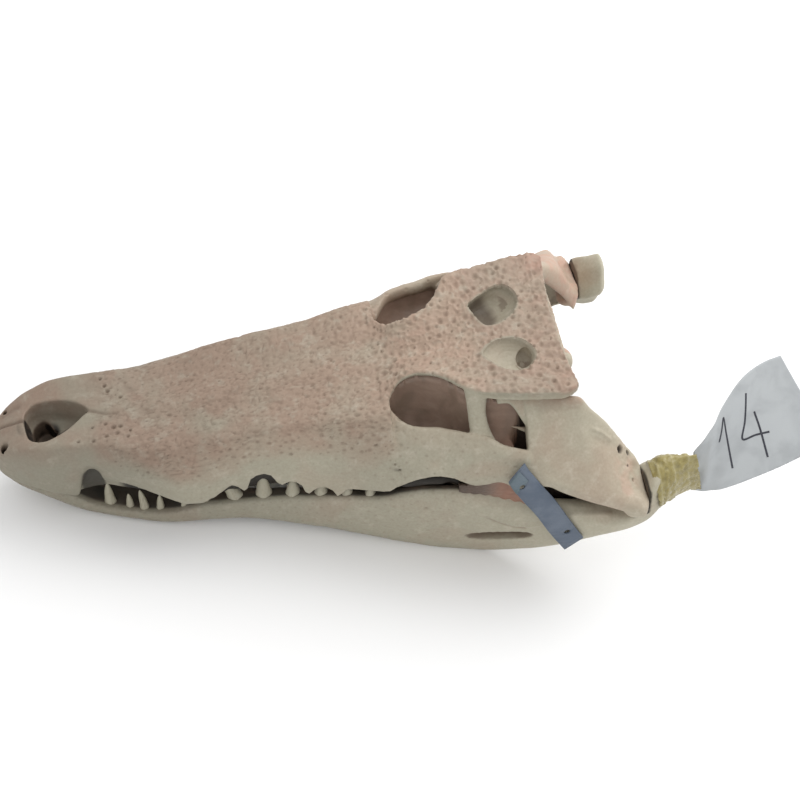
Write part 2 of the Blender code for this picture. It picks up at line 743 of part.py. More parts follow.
def jaw_ring(x):
    """A cross-section of one side of the lower jaw, from its upper edge round its outside."""
    top = jaw_top(x)
    out = jaw_outside(x)
    low = jaw_bottom(x)
    inner = jaw_inside(x)
    ridge_share = min(1.0, max(0.0, (x - 285) / 30)) * min(1.0, max(0.0, (440 - x) / 20))
    shelf = between(top, out, 0.4)
    shelf.y = max(shelf.y, top.y) + 1.2 + 2.6 * ridge_share
    heel = min(6.0, (low.y - inner.y) * 0.5)
    flare = 0.6 * min(1.0, max(0.0, (x - 385) / 40))
    roof = inner + Vector((0, 0, 0))
    roof.z = top.z - 1.0
    roof.y = inner.y + (top.y - inner.y) * 0.28 if x > 60 else inner.y
    return [
        top,
        shelf,
        out,
        between(out, low, 0.55) + Vector((0, 2.2, -1.0)),
        low,
        Vector((x, low.y - heel, low.z + (1.0 if x > 60 else 0.3))),
        Vector((x, inner.y + (low.y - heel - inner.y) * flare, (low.z + inner.z) / 2)),
        inner,
        Vector((x, roof.y, (roof.z * 2 + inner.z) / 3)),
        Vector((x, (roof.y * 2 + top.y) / 3, roof.z)),
    ]


def jaw_piece(name, start, end, sign, step):
    places = stations(start, end, step)
    rings = [on_side(jaw_ring(x), sign) for x in places]
    return solid(name, loft(rings), (BONE_SIDE, 0.6))


def make_jaws():
    """Both sides of the lower jaw: the tooth-bearing bone in front and the rear with the joint."""
    made = {}
    for label, sign in (("left", -1), ("right", 1)):
        front = jaw_piece(f"dentary_{label}", 5, DENTARY_END - SEAM / 2, sign, 14)
        teeth = bmesh.new()
        for x, height, radius, lean in LOWER_TEETH:
            edge = jaw_top(x)
            root = Vector((x, sign * (edge.y - radius - 0.8), edge.z - 4))
            tip = Vector((x - lean, sign * (edge.y - radius - 1.2), edge.z + height))
            tooth(teeth, root, tip, radius)
        boolean(front, solid(f"lower_teeth_{label}", teeth), "UNION")
        apply_modifiers(front)
        rear = jaw_piece(f"jaw_rear_{label}", DENTARY_END + SEAM / 2, JAW_END, sign, 12)
        window = ellipsoid(
            f"jaw_window_{label}", (346, sign * 96, -46), (27, 10, 7.5),
            Matrix.Rotation(math.radians(-3), 4, "Y"), sides=10,
        )
        fossa = ellipsoid(
            f"jaw_fossa_{label}", (362, sign * 81.5, -6), (44, 5.5, 34),
            Matrix.Rotation(math.radians(sign * 8), 4, "Z"),
        )
        boolean(rear, window, "DIFFERENCE")
        boolean(rear, fossa, "DIFFERENCE")
        apply_modifiers(rear)
        made[label] = (front, rear)
    return made


def cut_joint(jaws, quadrates):
    """The socket in each side of the lower jaw, a joint gap away from the upper jaw's condyles."""
    for label, (_, rear) in jaws.items():
        fit_to(rear, quadrates[label], gap=JOINT_GAP)


STRIP_PATH = (
    # Middle of the strip from the top of the cheek down to the lower jaw, and its share of width
    (359.5, 88.5, 40.5, 0.40), (360.6, 92.0, 32, 0.55), (363.4, 95.4, 21.5, 0.85),
    (369, 98.6, 8, 1.0), (376, 100.6, -4.5, 1.0), (384.5, 102.0, -17.5, 1.0),
    (393, 102.6, -30.5, 1.0), (401, 102.2, -44, 1.0),
)


def make_strip(jaws, jugals, quadrates):
    """The flat plastic strip that ties the left cheek to the lower jaw, with a hole at each end."""
    centres = [Vector((x, -y, z)) for x, y, z, _ in STRIP_PATH]
    rings = []
    for i, centre in enumerate(centres):
        ahead = centres[min(i + 1, len(centres) - 1)] - centres[max(i - 1, 0)]
        ahead.normalize()
        out = Vector((0, -1, 0))
        out = (out - ahead * out.dot(ahead)).normalized()
        width = ahead.cross(out).normalized() * STRIP_WIDTH / 2 * STRIP_PATH[i][3]
        back = out * STRIP_THICKNESS
        rings.append(
            [centre - width, centre + width, centre + width + back, centre - width + back]
        )
    piece = solid("jaw_strip", loft(rings), (STRIP_BLUE, 0.45))
    fit_to(piece, jugals["left"], quadrates["left"], *jaws["left"])
    return piece


TAPE_SECTIONS = (
    # x, y, z of the middle, half-width across, half-height
    (459, -94, 1, 17.5, 23.5), (466, -92, 4, 15.5, 25.5), (473, -90, 4.5, 12.0, 25.0),
    (484, -88, 3, 7.0, 24.0), (494, -88, 1, 4.0, 22.0),
)


def make_tape(jaws):
    """Yellow tape wound round the end of the left side of the jaw and the tag's narrow end."""
    rings = []
    for x, y, z, half_width, half_height in TAPE_SECTIONS:
        ring = []
        for k in range(16):
            angle = 2 * math.pi * k / 16
            ring.append(
                Vector((x, y + half_width * math.cos(angle), z + half_height * math.sin(angle)))
            )
        rings.append(ring)
    piece = solid("tag_tape", loft(rings), (TAPE_YELLOW, 0.5))
    fit_to(piece, jaws["left"][1], gap=4 * SEAM)
    return piece


TAG_SECTIONS = (
    # Lower edge and upper edge of the paper, from the tape outwards
    ((494.4, -92, -19), (494.4, -84, 20)),
    ((505, -93, -18), (503, -77, 31)),
    ((522, -92, -14), (515, -66, 36)),
    ((545, -89, -7), (532, -48, 43)),
    ((568, -85, 1), (549, -38, 47)),
    ((591, -80, 9), (563, -30, 48)),
)


def make_tag():
    """The paper tag: one sheet of triangles, and its copy a paper's thickness behind it."""
    bm = bmesh.new()
    rows = []
    for low, high in TAG_SECTIONS:
        low = Vector(low)
        high = Vector(high)
        out = (high - low).cross(Vector((1, 0, 0))).normalized() * TAG_SAG
        row = []
        for share in (0.0, 0.25, 0.5, 0.75, 1.0):
            row.append(bm.verts.new(low.lerp(high, share) + out * math.sin(math.pi * share)))
        rows.append(row)
    for one, two in zip(rows, rows[1:]):
        for i in range(len(one) - 1):
            bm.faces.new((one[i], one[i + 1], two[i + 1], two[i]))
    bmesh.ops.triangulate(bm, faces=bm.faces[:])
    behind = bmesh.ops.extrude_face_region(bm, geom=bm.faces[:], use_keep_orig=True)
    copies = [item for item in behind["geom"] if isinstance(item, bmesh.types.BMVert)]
    bmesh.ops.translate(bm, vec=Vector(TAG_BACK) * TAG_THICKNESS, verts=copies)
    return solid("paper_tag", bm, (TAG_WHITE, 0.8))


def settle(pieces):
    """Pitches the skull until the jaw lies level, flattens what it lies on, and centres it."""
    pitch = Matrix.Rotation(-math.radians(REST_PITCH), 4, "Y")
    for piece in pieces:
        piece.data.transform(Matrix.Scale(SCALE, 4) @ pitch)
    low = min(v.co.z for piece in pieces for v in piece.data.vertices) + FLOOR_FLAT * SCALE
    for piece in pieces:
        if min(v.co.z for v in piece.data.vertices) < low:
            bm = bmesh.new()
            bm.from_mesh(piece.data)
            everything = bm.verts[:] + bm.edges[:] + bm.faces[:]
            cut = bmesh.ops.bisect_plane(
                bm, geom=everything, dist=1e-7, plane_co=(0, 0, low), plane_no=(0, 0, -1),
                clear_outer=True,
            )
            rims = [item for item in cut["geom_cut"] if isinstance(item, bmesh.types.BMEdge)]
            bmesh.ops.holes_fill(bm, edges=rims)
            bmesh.ops.recalc_face_normals(bm, faces=bm.faces)
            bm.to_mesh(piece.data)
            bm.free()
    points = np.array([v.co[:] for piece in pieces for v in piece.data.vertices])
    least = points.min(axis=0)
    most = points.max(axis=0)
    shift = Matrix.Translation((-(least[0] + most[0]) / 2, -(least[1] + most[1]) / 2, -least[2]))
    for piece in pieces:
        piece.data.transform(shift)
    return shift.translation


def build():
    snout = make_snout()
    frontal = make_frontal()
    table = make_table()
    jugals = make_jugals()
    quadrates = make_quadrates()
    for label in ("left", "right"):
        fit_to(quadrates[label], table)
    braincase = make_braincase(frontal, table, quadrates)
    floor = make_palate(braincase)
    maxillae = {"left": snout["maxilla_left"], "right": snout["maxilla_right"]}
    struts = make_side_bars(frontal, table, jugals, floor, maxillae)
    jaws = make_jaws()
    for label, strut in struts.items():
        fit_to(jaws[label][1], strut, gap=2 * SEAM)
    cut_joint(jaws, quadrates)
    make_strip(jaws, jugals, quadrates)
    make_tape(jaws)
    make_tag()
    return settle(list(skull.objects))


SKULL_ORIGIN = build()
print("skull frame origin in the model frame, m:", SKULL_ORIGIN[:])
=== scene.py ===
"""The looks of a crocodile skull with a strip, tape and a paper tag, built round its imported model.

Shapes are worked out in the skull's own frame, in millimetres: x runs back from the tip of the
snout, y to the right and z up. Each finished piece is brought into the model's frame, in metres.
"""

import json
import math
from itertools import product

import bmesh
import bpy
import numpy as np
from bpy.props import FloatProperty, FloatVectorProperty, IntProperty, PointerProperty
from mathutils import Matrix, Vector
from mathutils.bvhtree import BVHTree
from mathutils.kdtree import KDTree

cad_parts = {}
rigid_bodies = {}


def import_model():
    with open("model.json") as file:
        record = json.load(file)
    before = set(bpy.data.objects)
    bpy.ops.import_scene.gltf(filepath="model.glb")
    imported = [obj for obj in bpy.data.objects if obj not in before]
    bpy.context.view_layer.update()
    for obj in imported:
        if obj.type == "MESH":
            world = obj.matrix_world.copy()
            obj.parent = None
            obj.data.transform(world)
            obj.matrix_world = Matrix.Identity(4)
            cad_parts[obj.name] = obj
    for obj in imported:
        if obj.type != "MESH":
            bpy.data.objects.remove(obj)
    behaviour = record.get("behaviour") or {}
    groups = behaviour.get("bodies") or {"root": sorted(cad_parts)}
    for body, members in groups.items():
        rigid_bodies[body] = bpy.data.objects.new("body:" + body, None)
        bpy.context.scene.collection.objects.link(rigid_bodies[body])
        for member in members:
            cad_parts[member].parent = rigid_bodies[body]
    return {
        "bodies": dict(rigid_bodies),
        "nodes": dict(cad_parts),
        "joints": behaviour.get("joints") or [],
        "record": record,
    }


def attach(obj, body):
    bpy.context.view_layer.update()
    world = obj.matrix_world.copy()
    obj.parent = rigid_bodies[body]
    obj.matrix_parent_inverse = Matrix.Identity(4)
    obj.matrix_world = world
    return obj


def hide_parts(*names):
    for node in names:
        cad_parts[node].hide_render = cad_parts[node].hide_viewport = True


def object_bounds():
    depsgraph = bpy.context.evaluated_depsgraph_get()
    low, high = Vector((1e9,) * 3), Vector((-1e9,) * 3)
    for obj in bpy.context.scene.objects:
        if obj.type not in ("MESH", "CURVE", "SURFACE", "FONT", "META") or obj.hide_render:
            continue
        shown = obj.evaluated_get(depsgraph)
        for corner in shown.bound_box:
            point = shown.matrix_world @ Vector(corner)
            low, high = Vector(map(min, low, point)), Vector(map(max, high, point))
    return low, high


bl_info = {
    "name": "Crocodile skull",
    "version": (1, 0, 0),
    "blender": (4, 5, 0),
    "location": "View3D > Sidebar > Skull",
    "description": "Builds a crocodile skull with its strip, tape and tag on a packed frame",
    "category": "Add Mesh",
}

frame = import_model()
CAD_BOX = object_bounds()
MM = 0.001
SKULL_ORIGIN = (-0.292602, -0.001250, 0.037760)
REST_PITCH = 6.0
SKULL_TO_MODEL = (
    Matrix.Translation(SKULL_ORIGIN)
    @ Matrix.Scale(MM, 4)
    @ Matrix.Rotation(-math.radians(REST_PITCH), 4, "Y")
)
MODEL_TO_SKULL = SKULL_TO_MODEL.inverted()

# Driving dimensions of the bones, in millimetres
SNOUT_END = 276.0
PREMAXILLA_END = 88.0
FRONTAL_END = 334.0
TABLE_END = 402.0
JUGAL_END = 366.0
CONDYLE_END = 443.0
JAW_END = 469.0
JOINT_GAP = 3.2
CHEEK_CUT = 47.0
ROOF_RIM = 6.5
JUGAL_THICKNESS = 10.0

# What sets the right side apart: the shift of its jaw joint and the rise of the bone before it
JOINT_SKEW = (-5.0, 2.5, 4.5)
FAR_SWELL = 11.0

# How far the photograph's line of sight falls for each millimetre across
# It sets the edge of the painted shadow under the near rim of the nose opening
SIGHT_SLOPE = 1.27
SIDES = (("left", -1), ("right", 1))


def cubic(t, start, leave, end, reach):
    """A smooth way from start to end at share t, with the slopes leave and reach at its ends."""
    return (
        (2 * t**3 - 3 * t**2 + 1) * start + (t**3 - 2 * t**2 + t) * leave
        + (3 * t**2 - 2 * t**3) * end + (t**3 - t**2) * reach
    )


def line(places):
    """A smooth line through places (x, y, z) that never overshoots them, read at any x."""
    table = np.array(places, float)
    x = table[:, 0]
    step = np.diff(x)

    def slopes(values):
        secant = np.diff(values) / step
        inner = np.zeros(len(values))
        same = secant[:-1] * secant[1:] > 0
        wide = 2 * step[1:] + step[:-1]
        near = step[1:] + 2 * step[:-1]
        with np.errstate(divide="ignore", invalid="ignore"):
            mean = (wide + near) / (wide / secant[:-1] + near / secant[1:])
        inner[1:-1] = np.where(same, mean, 0)
        inner[0] = secant[0]
        inner[-1] = secant[-1]
        return inner

    slope = [slopes(table[:, 1]), slopes(table[:, 2])]

    def columns(place):
        i = np.clip(np.searchsorted(x, place) - 1, 0, len(step) - 1)
        t = np.clip((place - x[i]) / step[i], 0, 1)
        found = []
        for v, m in zip(table[:, 1:].T, slope):
            found.append(cubic(t, v[i], m[i] * step[i], v[i + 1], m[i + 1] * step[i]))
        return found

    def at(place):
        y, z = columns(place)
        return Vector((place, float(y), float(z)))

    def columns_at(values):
        """The y and z of the line at each of many x, straight between whole millimetres."""
        fine = np.arange(x[0], x[-1] + 1.0, 1.0)
        rows = np.array([columns(place) for place in fine])
        return np.interp(values, fine, rows[:, 0]), np.interp(values, fine, rows[:, 1])

    at.columns_at = columns_at
    return at


# Feature lines of the right half of the cranium, each a few named places (x, y, z)
crest = line([
    (0, 0, 15), (3, 0, 21), (8, 0, 26), (16, 0, 30), (26, 0, 33.5), (48, 0, 35), (70, 0, 37.5),
    (125, 0, 38.5), (150, 0, 41), (190, 0, 46), (225, 0, 51), (262, 0, 57), (276, 0, 59),
    (300, 0, 63), (330, 0, 70.5), (345, 0, 74), (380, 0, 77), (402, 0, 79),
])
shoulder = line([
    (0, 3, 15.5), (3, 9, 20), (8, 15, 24), (16, 20, 28.5), (26, 24, 32.5), (45, 28, 36.5),
    (60, 29.5, 38), (80, 31.5, 38), (108, 35, 34.5), (130, 38.5, 34.5), (151, 40, 38),
    (190, 41, 44), (225, 44, 49.5), (262, 48, 56), (276, 47, 57.5), (279, 40, 60), (284, 33, 64),
    (292, 27.5, 68.5), (301, 25.5, 70.5), (312, 30, 72.5), (325, 43, 75), (335, 52, 77.5),
    (350, 56, 78.5), (375, 60, 79.5), (402, 64.5, 81),
])
flank = line([
    (0, 4.5, 12), (3, 12, 14), (8, 18, 15), (16, 23.5, 17), (26, 29, 19), (45, 34.5, 22),
    (60, 34, 23), (80, 38, 20), (108, 48.5, 20), (130, 54, 17), (151, 53.5, 19),
    (190, 49.5, 25), (225, 55, 28), (262, 64, 32), (276, 68, 33), (300, 74, 36),
    (325, 81, 37), (350, 87, 35), (366, 90.5, 33), (378, 93.5, 31), (390, 97, 27),
    (405, 102, 21), (420, 107.5, 16), (432, 112, 12), (443, 116, 9),
])
side = line([
    (0, 5, 9), (3, 13, 4), (8, 18.5, 2), (16, 23.5, 1), (26, 29.5, 1), (45, 36, 1),
    (58, 35.5, 2), (63, 34, 11), (68, 33, 17.5), (73, 34, 16), (80, 38, 11), (90, 42.5, 9),
    (104, 49, 9), (120, 56, 4), (135, 59.2, -3), (150, 58, -2), (165, 54.5, 6), (188, 52, 11),
    (211, 57, 9), (238, 63.5, 8), (265, 73, 13), (276, 76, 16), (288, 79, 24), (302, 82, 29.5),
    (315, 84.5, 28), (327, 87, 23), (338, 89, 24.5), (346, 91, 27), (366, 95, 23),
    (378, 98.5, 26), (390, 102, 21), (405, 106.5, 15), (420, 111.5, 10), (432, 115.5, 6),
    (443, 119.5, 4),
])
margin = line([
    (0, 4.5, 5), (3, 12, -2), (8, 17.5, -4), (16, 22.5, -6), (26, 28.5, -5), (45, 35, -8),
    (56, 34, -14), (60, 33, -5), (63, 32, 4), (66, 31, 10.5), (70, 31, 11.5), (74, 32.5, 7),
    (76, 34, 0), (82, 38, 3.5), (91, 42.5, 5),
    (101, 47.5, 4), (114, 53, 0), (124, 56, -5), (133, 57.5, -12), (150, 57, -11),
    (164, 53.5, 1), (187, 51.5, 6.5), (211, 56, 3), (238, 62.5, 1), (265, 72, 6), (276, 75.5, 9),
    (284, 77, 15), (293, 79.5, 22), (304, 81.5, 25), (314, 83, 23), (322, 84.5, 18),
    (330, 86, 14.5), (338, 88, 17), (346, 90, 21),
    (358, 93, 16), (366, 94.5, 15), (372, 96, 18.5), (378, 97.5, 19.5), (387, 100, 15),
    (397, 103, 11), (407, 106, 8), (417, 109, 5.5), (427, 112.5, 3), (436, 116, 1), (443, 118, 0),
])
gum = line([
    (0, 2, 5), (8, 9, -2), (20, 15, -4), (45, 23, -6), (54, 26, -15), (60, 27.5, -16),
    (68, 27, -16), (76, 27.5, -14), (84, 31, -12), (100, 36, -12), (120, 42, -13),
    (133, 45, -15), (150, 44, -16), (165, 41.5, -18), (190, 41.5, -17), (215, 46.5, -15),
    (238, 52, -12), (258, 58, -7), (268, 61, -1), (276, 62, 6),
])
brow = line([
    (272, 39, 58.5), (276, 35, 59.5), (279, 30.5, 61), (283, 26.5, 63.5), (288, 24.5, 66.5),
    (295, 24, 69), (302, 26, 70.7), (312, 31, 72.7), (318, 36, 73.6), (325, 44, 75),
    (331, 49.5, 76.5), (336, 52.5, 77.5),
])
palate = line([
    (0, 0, 7), (10, 0, 2), (30, 0, 1), (68, 0, 3), (100, 0, 5), (133, 0, 3), (165, 0, 5),
    (238, 0, 5), (276, 0, 5),
])
table_edge = line([(335, 52.5, 70), (350, 57, 70.5), (375, 61, 71), (402, 64, 72.5)])
orbit_rim = line([
    (272, 40, 57), (276, 42, 54), (278, 44.5, 52), (281, 48.3, 50.6), (284.6, 51.8, 49.8),
    (288, 54, 49.5), (292, 55.8, 49.3), (300, 57.8, 49.2), (312, 60.8, 49.3), (325, 67, 50.5),
    (338, 72.5, 50.5), (350, 77.6, 45.8), (366, 82, 43),
])
quadrate_crest = line([
    (366, 56.5, 68.5), (385, 58, 69), (402, 60.5, 68.5), (411, 63.5, 59), (420, 66, 49),
    (430, 69, 35), (438, 71, 23), (443, 72, 15),
])

# Feature lines of the right half of the lower jaw
jaw_outside = line([
    (5, 7, -14), (12, 14, -16), (21, 20, -18), (34, 26, -21), (47, 30, -28), (60, 33, -34),
    (75, 36.5, -37.5), (88, 40, -39), (110, 45, -41), (123, 47, -41), (140, 48.5, -39),
    (159, 50, -37), (187, 53, -37), (208, 59, -36), (251, 70, -35), (294, 81, -33),
    (337, 91, -30), (381, 99.5, -28), (409, 107, -22), (436, 115, -13), (450, 113, -9),
    (460, 108, -3), (469, 102, 8),
])
jaw_bottom = line([
    (5, 5, -17), (12, 9, -20), (21, 13, -23), (34, 17, -31), (47, 20, -38.5), (60, 23, -44.5),
    (88, 32, -46), (123, 39, -49), (159, 43, -48.5), (208, 52, -54.5), (251, 63, -62),
    (294, 74.5, -69.3), (315, 79, -71.8), (337, 84, -72), (360, 89, -69), (381, 94, -63),
    (409, 101, -48), (425, 104, -37), (436, 105, -31), (450, 103, -26), (460, 99, -22),
    (469, 94, -15),
])
jaw_top = line([
    (5, 6, -11.5), (20, 18, -11.5), (40, 25, -13), (50, 28, -18), (57, 29.5, -23),
    (66, 31.5, -29), (80, 34.5, -33), (101, 40.5, -34), (118, 43.5, -33), (130, 45, -30),
    (142, 46, -26.5), (153, 47, -25), (170, 48.5, -24), (190, 51, -22.5), (202, 54, -19.5),
    (219, 58, -17.5), (233, 61.5, -15.5), (246, 65, -13.5), (262, 69, -12), (272, 72, -9),
    (280, 74, -4.5), (300, 79, 2.5), (320, 84, 5.5), (335, 86.5, 5), (350, 88, 2),
    (381, 92.5, -5), (409, 99, -10), (424, 106, -10), (436, 114, -4), (446, 111, 8),
    (452, 105, 19), (460, 99, 28), (469, 96, 33),
])
jaw_inside = line([
    (5, 0.2, -15), (58, 0.2, -32), (104, 0.2, -38), (118, 3, -39), (132, 12, -40),
    (150, 22, -40), (175, 27.5, -41), (208, 35, -43), (251, 48, -45), (294, 61, -46),
    (337, 72.5, -46), (381, 79, -38), (409, 81, -24), (425, 81, -12), (440, 79, -2),
    (456, 76, 4), (469, 77, 10),
])


def ease(values, low, high):
    """A smooth step from 0 at low to 1 at high, for numbers or arrays."""
    t = np.clip((np.asarray(values, float) - low) / (high - low), 0, 1)
    return t * t * (3 - 2 * t)


def fade(values, low, high):
    """A smooth step from 1 at low to 0 at high."""
    return 1 - ease(values, low, high)


def between(a, b, share, lift=0.0):
    """A point at a share of the way from a to b, lifted a little."""
    mid = a.lerp(b, share)
    return Vector((mid.x, mid.y, mid.z + lift))


def whole_ring(half):
    """A ring over both sides from the points of one side, the first and last on the mid-plane."""
    return half + [Vector((p.x, -p.y, p.z)) for p in reversed(half[1:-1])]


def on_side(ring, sign, swell=0.0):
    """The ring on its own side; the right jaw joint sits a little further up and forward."""
    placed = []
    for p in ring:
        share = float(ease(p.x, 385, 430)) if sign > 0 else 0.0
        lift = swell * share * float(ease(p.y, 62, 84)) * float(fade(p.x, 428, 440))
        placed.append(Vector((p.x, sign * p.y, p.z + lift)) + Vector(JOINT_SKEW) * share)
    return placed


def corner_plate(label, sign):
    """The thin bone that closes the upper rear corner of the opening behind the eye."""
    down = Vector((0, 0.72, -0.69))
    out = Vector((0, 0.69, 0.72))
    rings = []
    for x in places(347, 376, 1.5):
        root = Vector((x, 50, 71))
        tip = root + down * (8 + 19 * float(ease(x, 354, 369)))
        ring = [root + out * 1.6, tip + out * 1.6, tip - out * 1.4, root - out * 3]
        rings.append(rounded(on_side(ring, sign), 4, 0.3))
    return to_object(f"corner_{label}_shape", skin(rings))


def rounded(ring, count=4, pull=0.5):
    """The closed ring with count points for each of its own, on a smooth curve through them."""
    made = []
    size = len(ring)
    for i in range(size):
        before, a, b, after = (ring[(i + k) % size] for k in (-1, 0, 1, 2))
        for step in range(count):
            t = step / count
            u = 1 - t
            leave = a + (b - before) * (pull / 3)
            reach = b - (after - a) * (pull / 3)
            made.append(a * u**3 + leave * (3 * u * u * t) + reach * (3 * u * t * t) + b * t**3)
    return made


def places(start, end, step):
    """Even places from start to end, about a step apart."""
    count = max(2, int(round((end - start) / step)) + 1)
    return [float(v) for v in np.linspace(start, end, count)]


def skin(rings):
    """A closed skin: a grid bent round the rings, its seam merged and its two ends filled."""
    count = len(rings[0])
    bm = bmesh.new()
    bmesh.ops.create_grid(bm, x_segments=count, y_segments=len(rings) - 1, size=1.0)
    bm.verts.ensure_lookup_table()
    for index, vertex in enumerate(bm.verts):
        row, column = divmod(index, count + 1)
        vertex.co = rings[row][column % count]
    bmesh.ops.remove_doubles(bm, verts=bm.verts, dist=1e-5)
    rims = [edge for edge in bm.edges if edge.is_boundary]
    bmesh.ops.holes_fill(bm, edges=rims)
    bmesh.ops.recalc_face_normals(bm, faces=bm.faces)
    return bm


def to_object(name, bm):
    mesh = bpy.data.meshes.new(name)
    bm.to_mesh(mesh)
    bm.free()
    made = bpy.data.objects.new(name, mesh)
    bpy.context.scene.collection.objects.link(made)
    return made


def loft(name, stops, ring_of):
    """An object skinned over the ring of each stop along the skull, its corners rounded."""
    return to_object(name, skin([rounded(ring_of(x)) for x in stops]))


def round_off(rings, steps):
    """Adds rings that draw in the rear end, each from the last by its inset and its way back."""
    centre = sum(rings[-1], Vector()) / len(rings[-1])
    for inset, back in steps:
        shift = Vector((back, 0, 0))
        rings.append([centre + (point - centre) * inset + shift for point in rings[-1]])


def settle_modifiers(piece):
    """The piece's evaluated mesh in place of its own."""
    graph = bpy.context.evaluated_depsgraph_get()
    mesh = bpy.data.meshes.new_from_object(piece.evaluated_get(graph))
    old = piece.data
    piece.modifiers.clear()
    piece.data = mesh
    bpy.data.meshes.remove(old)
    if not mesh.polygons:
        raise ValueError(f"{piece.name}: nothing is left of it")
    return piece


def cut(piece, *tools):
    """Takes each tool out of the piece and removes the tool."""
    for tool in tools:
        made = piece.modifiers.new(tool.name, "BOOLEAN")
        made.operation = "DIFFERENCE"
        made.solver = "MANIFOLD"
        made.object = tool
    settle_modifiers(piece)
    for tool in tools:
        bpy.data.objects.remove(tool)
    return piece


def shifted(bm, gap):
    """Moves every vertex out along its normal by the gap."""
    bm.normal_update()
    moves = [vertex.normal * vertex.calc_shell_factor() * gap for vertex in bm.verts]
    for vertex, move in zip(bm.verts, moves):
        vertex.co += move
    return bm


def node_copy(node, gap=0.0):
    """A merged copy of a CAD node in the skull's frame, grown by the gap."""
    bm = bmesh.new()
    bm.from_mesh(frame["nodes"][node].data)
    bmesh.ops.remove_doubles(bm, verts=bm.verts, dist=1e-6)
    bmesh.ops.transform(bm, matrix=MODEL_TO_SKULL, verts=bm.verts)
    if gap:
        shifted(bm, gap)
    return to_object(f"{node}_copy", bm)


def pit_cutter(name, centre, radius, depth):
    """A round cutter that runs down and narrows to four fifths of its width."""
    bm = bmesh.new()
    bmesh.ops.create_cone(bm, cap_ends=True, segments=20, radius1=0.8, radius2=1.0, depth=1.0)
    for vertex in bm.verts:
        vertex.co = (vertex.co.x * radius, vertex.co.y * radius, vertex.co.z * depth)
    bmesh.ops.translate(bm, vec=centre, verts=bm.verts)
    return to_object(name, bm)


def ball(name, centre, radii, turn=None):
    """A ball drawn out to three radii, and turned where a turn is given."""
    bm = bmesh.new()
    bmesh.ops.create_uvsphere(bm, u_segments=32, v_segments=16, radius=1.0)
    shape = Matrix.Diagonal((*radii, 1.0))
    move = Matrix.Translation(centre) @ (turn or Matrix.Identity(4)) @ shape
    bmesh.ops.transform(bm, matrix=move, verts=bm.verts)
    return to_object(name, bm)


def snout_half(x):
    """Half a cross-section of the snout, from the crest round to the middle of the palate."""
    top = crest(x)
    edge = shoulder(x)
    cheek = flank(x)
    lip = margin(x)
    inner = gum(x)
    vault = palate(x)
    ridge = float(ease(x, 50, 58))
    under = between(lip, inner, 0.35, -1.2 if x > 4 else 0)
    recess = Vector((x, max(lip.y - 3.6, inner.y), lip.z + 0.6))
    roof = Vector((x, max(2.0, inner.y - 9), max(inner.z, vault.z - 1)))
    return [
        top,
        between(top, edge, 0.4, 0.15 * (edge.z - top.z)),
        between(top, edge, 0.75, 0.6),
        edge,
        between(edge, cheek, 0.45, 2.4 if x > 4 else 0.5),
        cheek,
        between(cheek, side(x), 0.5, 0.5),
        side(x),
        lip,
        under.lerp(recess, ridge),
        inner,
        inner.lerp(vault, 0.3).lerp(roof, ridge),
        vault,
    ]


def frontal_half(x):
    """Half a cross-section of the forehead between the eye sockets."""
    top = crest(x)
    rim = brow(x)
    drop = ROOF_RIM
    return [
        top,
        between(top, rim, 0.35),
        between(top, rim, 0.72),
        rim,
        Vector((x, rim.y + 0.3, rim.z - drop * 0.5)),
        Vector((x, rim.y * 0.88, rim.z - drop - 1)),
        Vector((x, rim.y * 0.5, top.z - 9)),
        Vector((x, 0, top.z - 11)),
    ]


def table_half(x):
    """Half a cross-section of the flat roof behind the eyes."""
    top = crest(x)
    rim = shoulder(x)
    edge = table_edge(x)
    return [
        top,
        between(top, rim, 0.35),
        between(top, rim, 0.72),
        rim,
        between(rim, edge, 0.5) + Vector((0, 0.6, 0)),
        edge,
        edge + Vector((0, -8, -2)),
        Vector((x, edge.y * 0.5, top.z - 13)),
        Vector((x, 0, top.z - 14)),
    ]


def jugal_ring(x, far=False):
    """A cross-section of the cheek bone; its rim stands further out on the right."""
    rim = orbit_rim(x)
    if far:
        rim.y += 5.0 * float(ease(x, 278, 296)) * float(fade(x, 335, 352))
    cheek = flank(x)
    wide = side(x)
    lip = margin(x)
    thick = JUGAL_THICKNESS
    return [
        rim,
        between(rim, cheek, 0.5, 1.5) + Vector((0, 1.0, 0)),
        cheek,
        wide,
        lip,
        lip + Vector((0, -thick * 0.55, 0.5)),
        wide + Vector((0, -thick, 3)),
        cheek + Vector((0, -thick * 1.1, -1)),
        rim + Vector((0, -3.5, -5.5)),
    ]


def quadrate_ring(x):
    """From the crest under the skull table down the outside to the cheek margin and back inside."""
    top = quadrate_crest(x)
    cheek = flank(x)
    wide = side(x)
    lip = margin(x)
    rear = min(1.0, max(0.0, (x - JUGAL_END) / (CONDYLE_END - JUGAL_END)))
    thick = 8.0 + 9.0 * rear
    inward = Vector((0, -0.62, -0.78)) * thick
    return [
        top,
        between(top, cheek, 0.3, 3.0 - 5.0 * rear),
        between(top, cheek, 0.65, 2.5 - 4.0 * rear),
        cheek,
        wide,
        lip,
        lip + Vector((0, -thick * 0.6, -0.5 * rear)),
        cheek + Vector((0, -thick * 0.9, -thick * 0.75)),
        between(top, cheek, 0.5) + inward,
        top + Vector((0, -thick * 0.25, -thick)),
    ]


# Middle and radius of the two knobs of each jaw joint
CONDYLES = {"outer": ((438.5, 108, 3), 9.5), "inner": ((438.5, 77, 8), 9.0)}


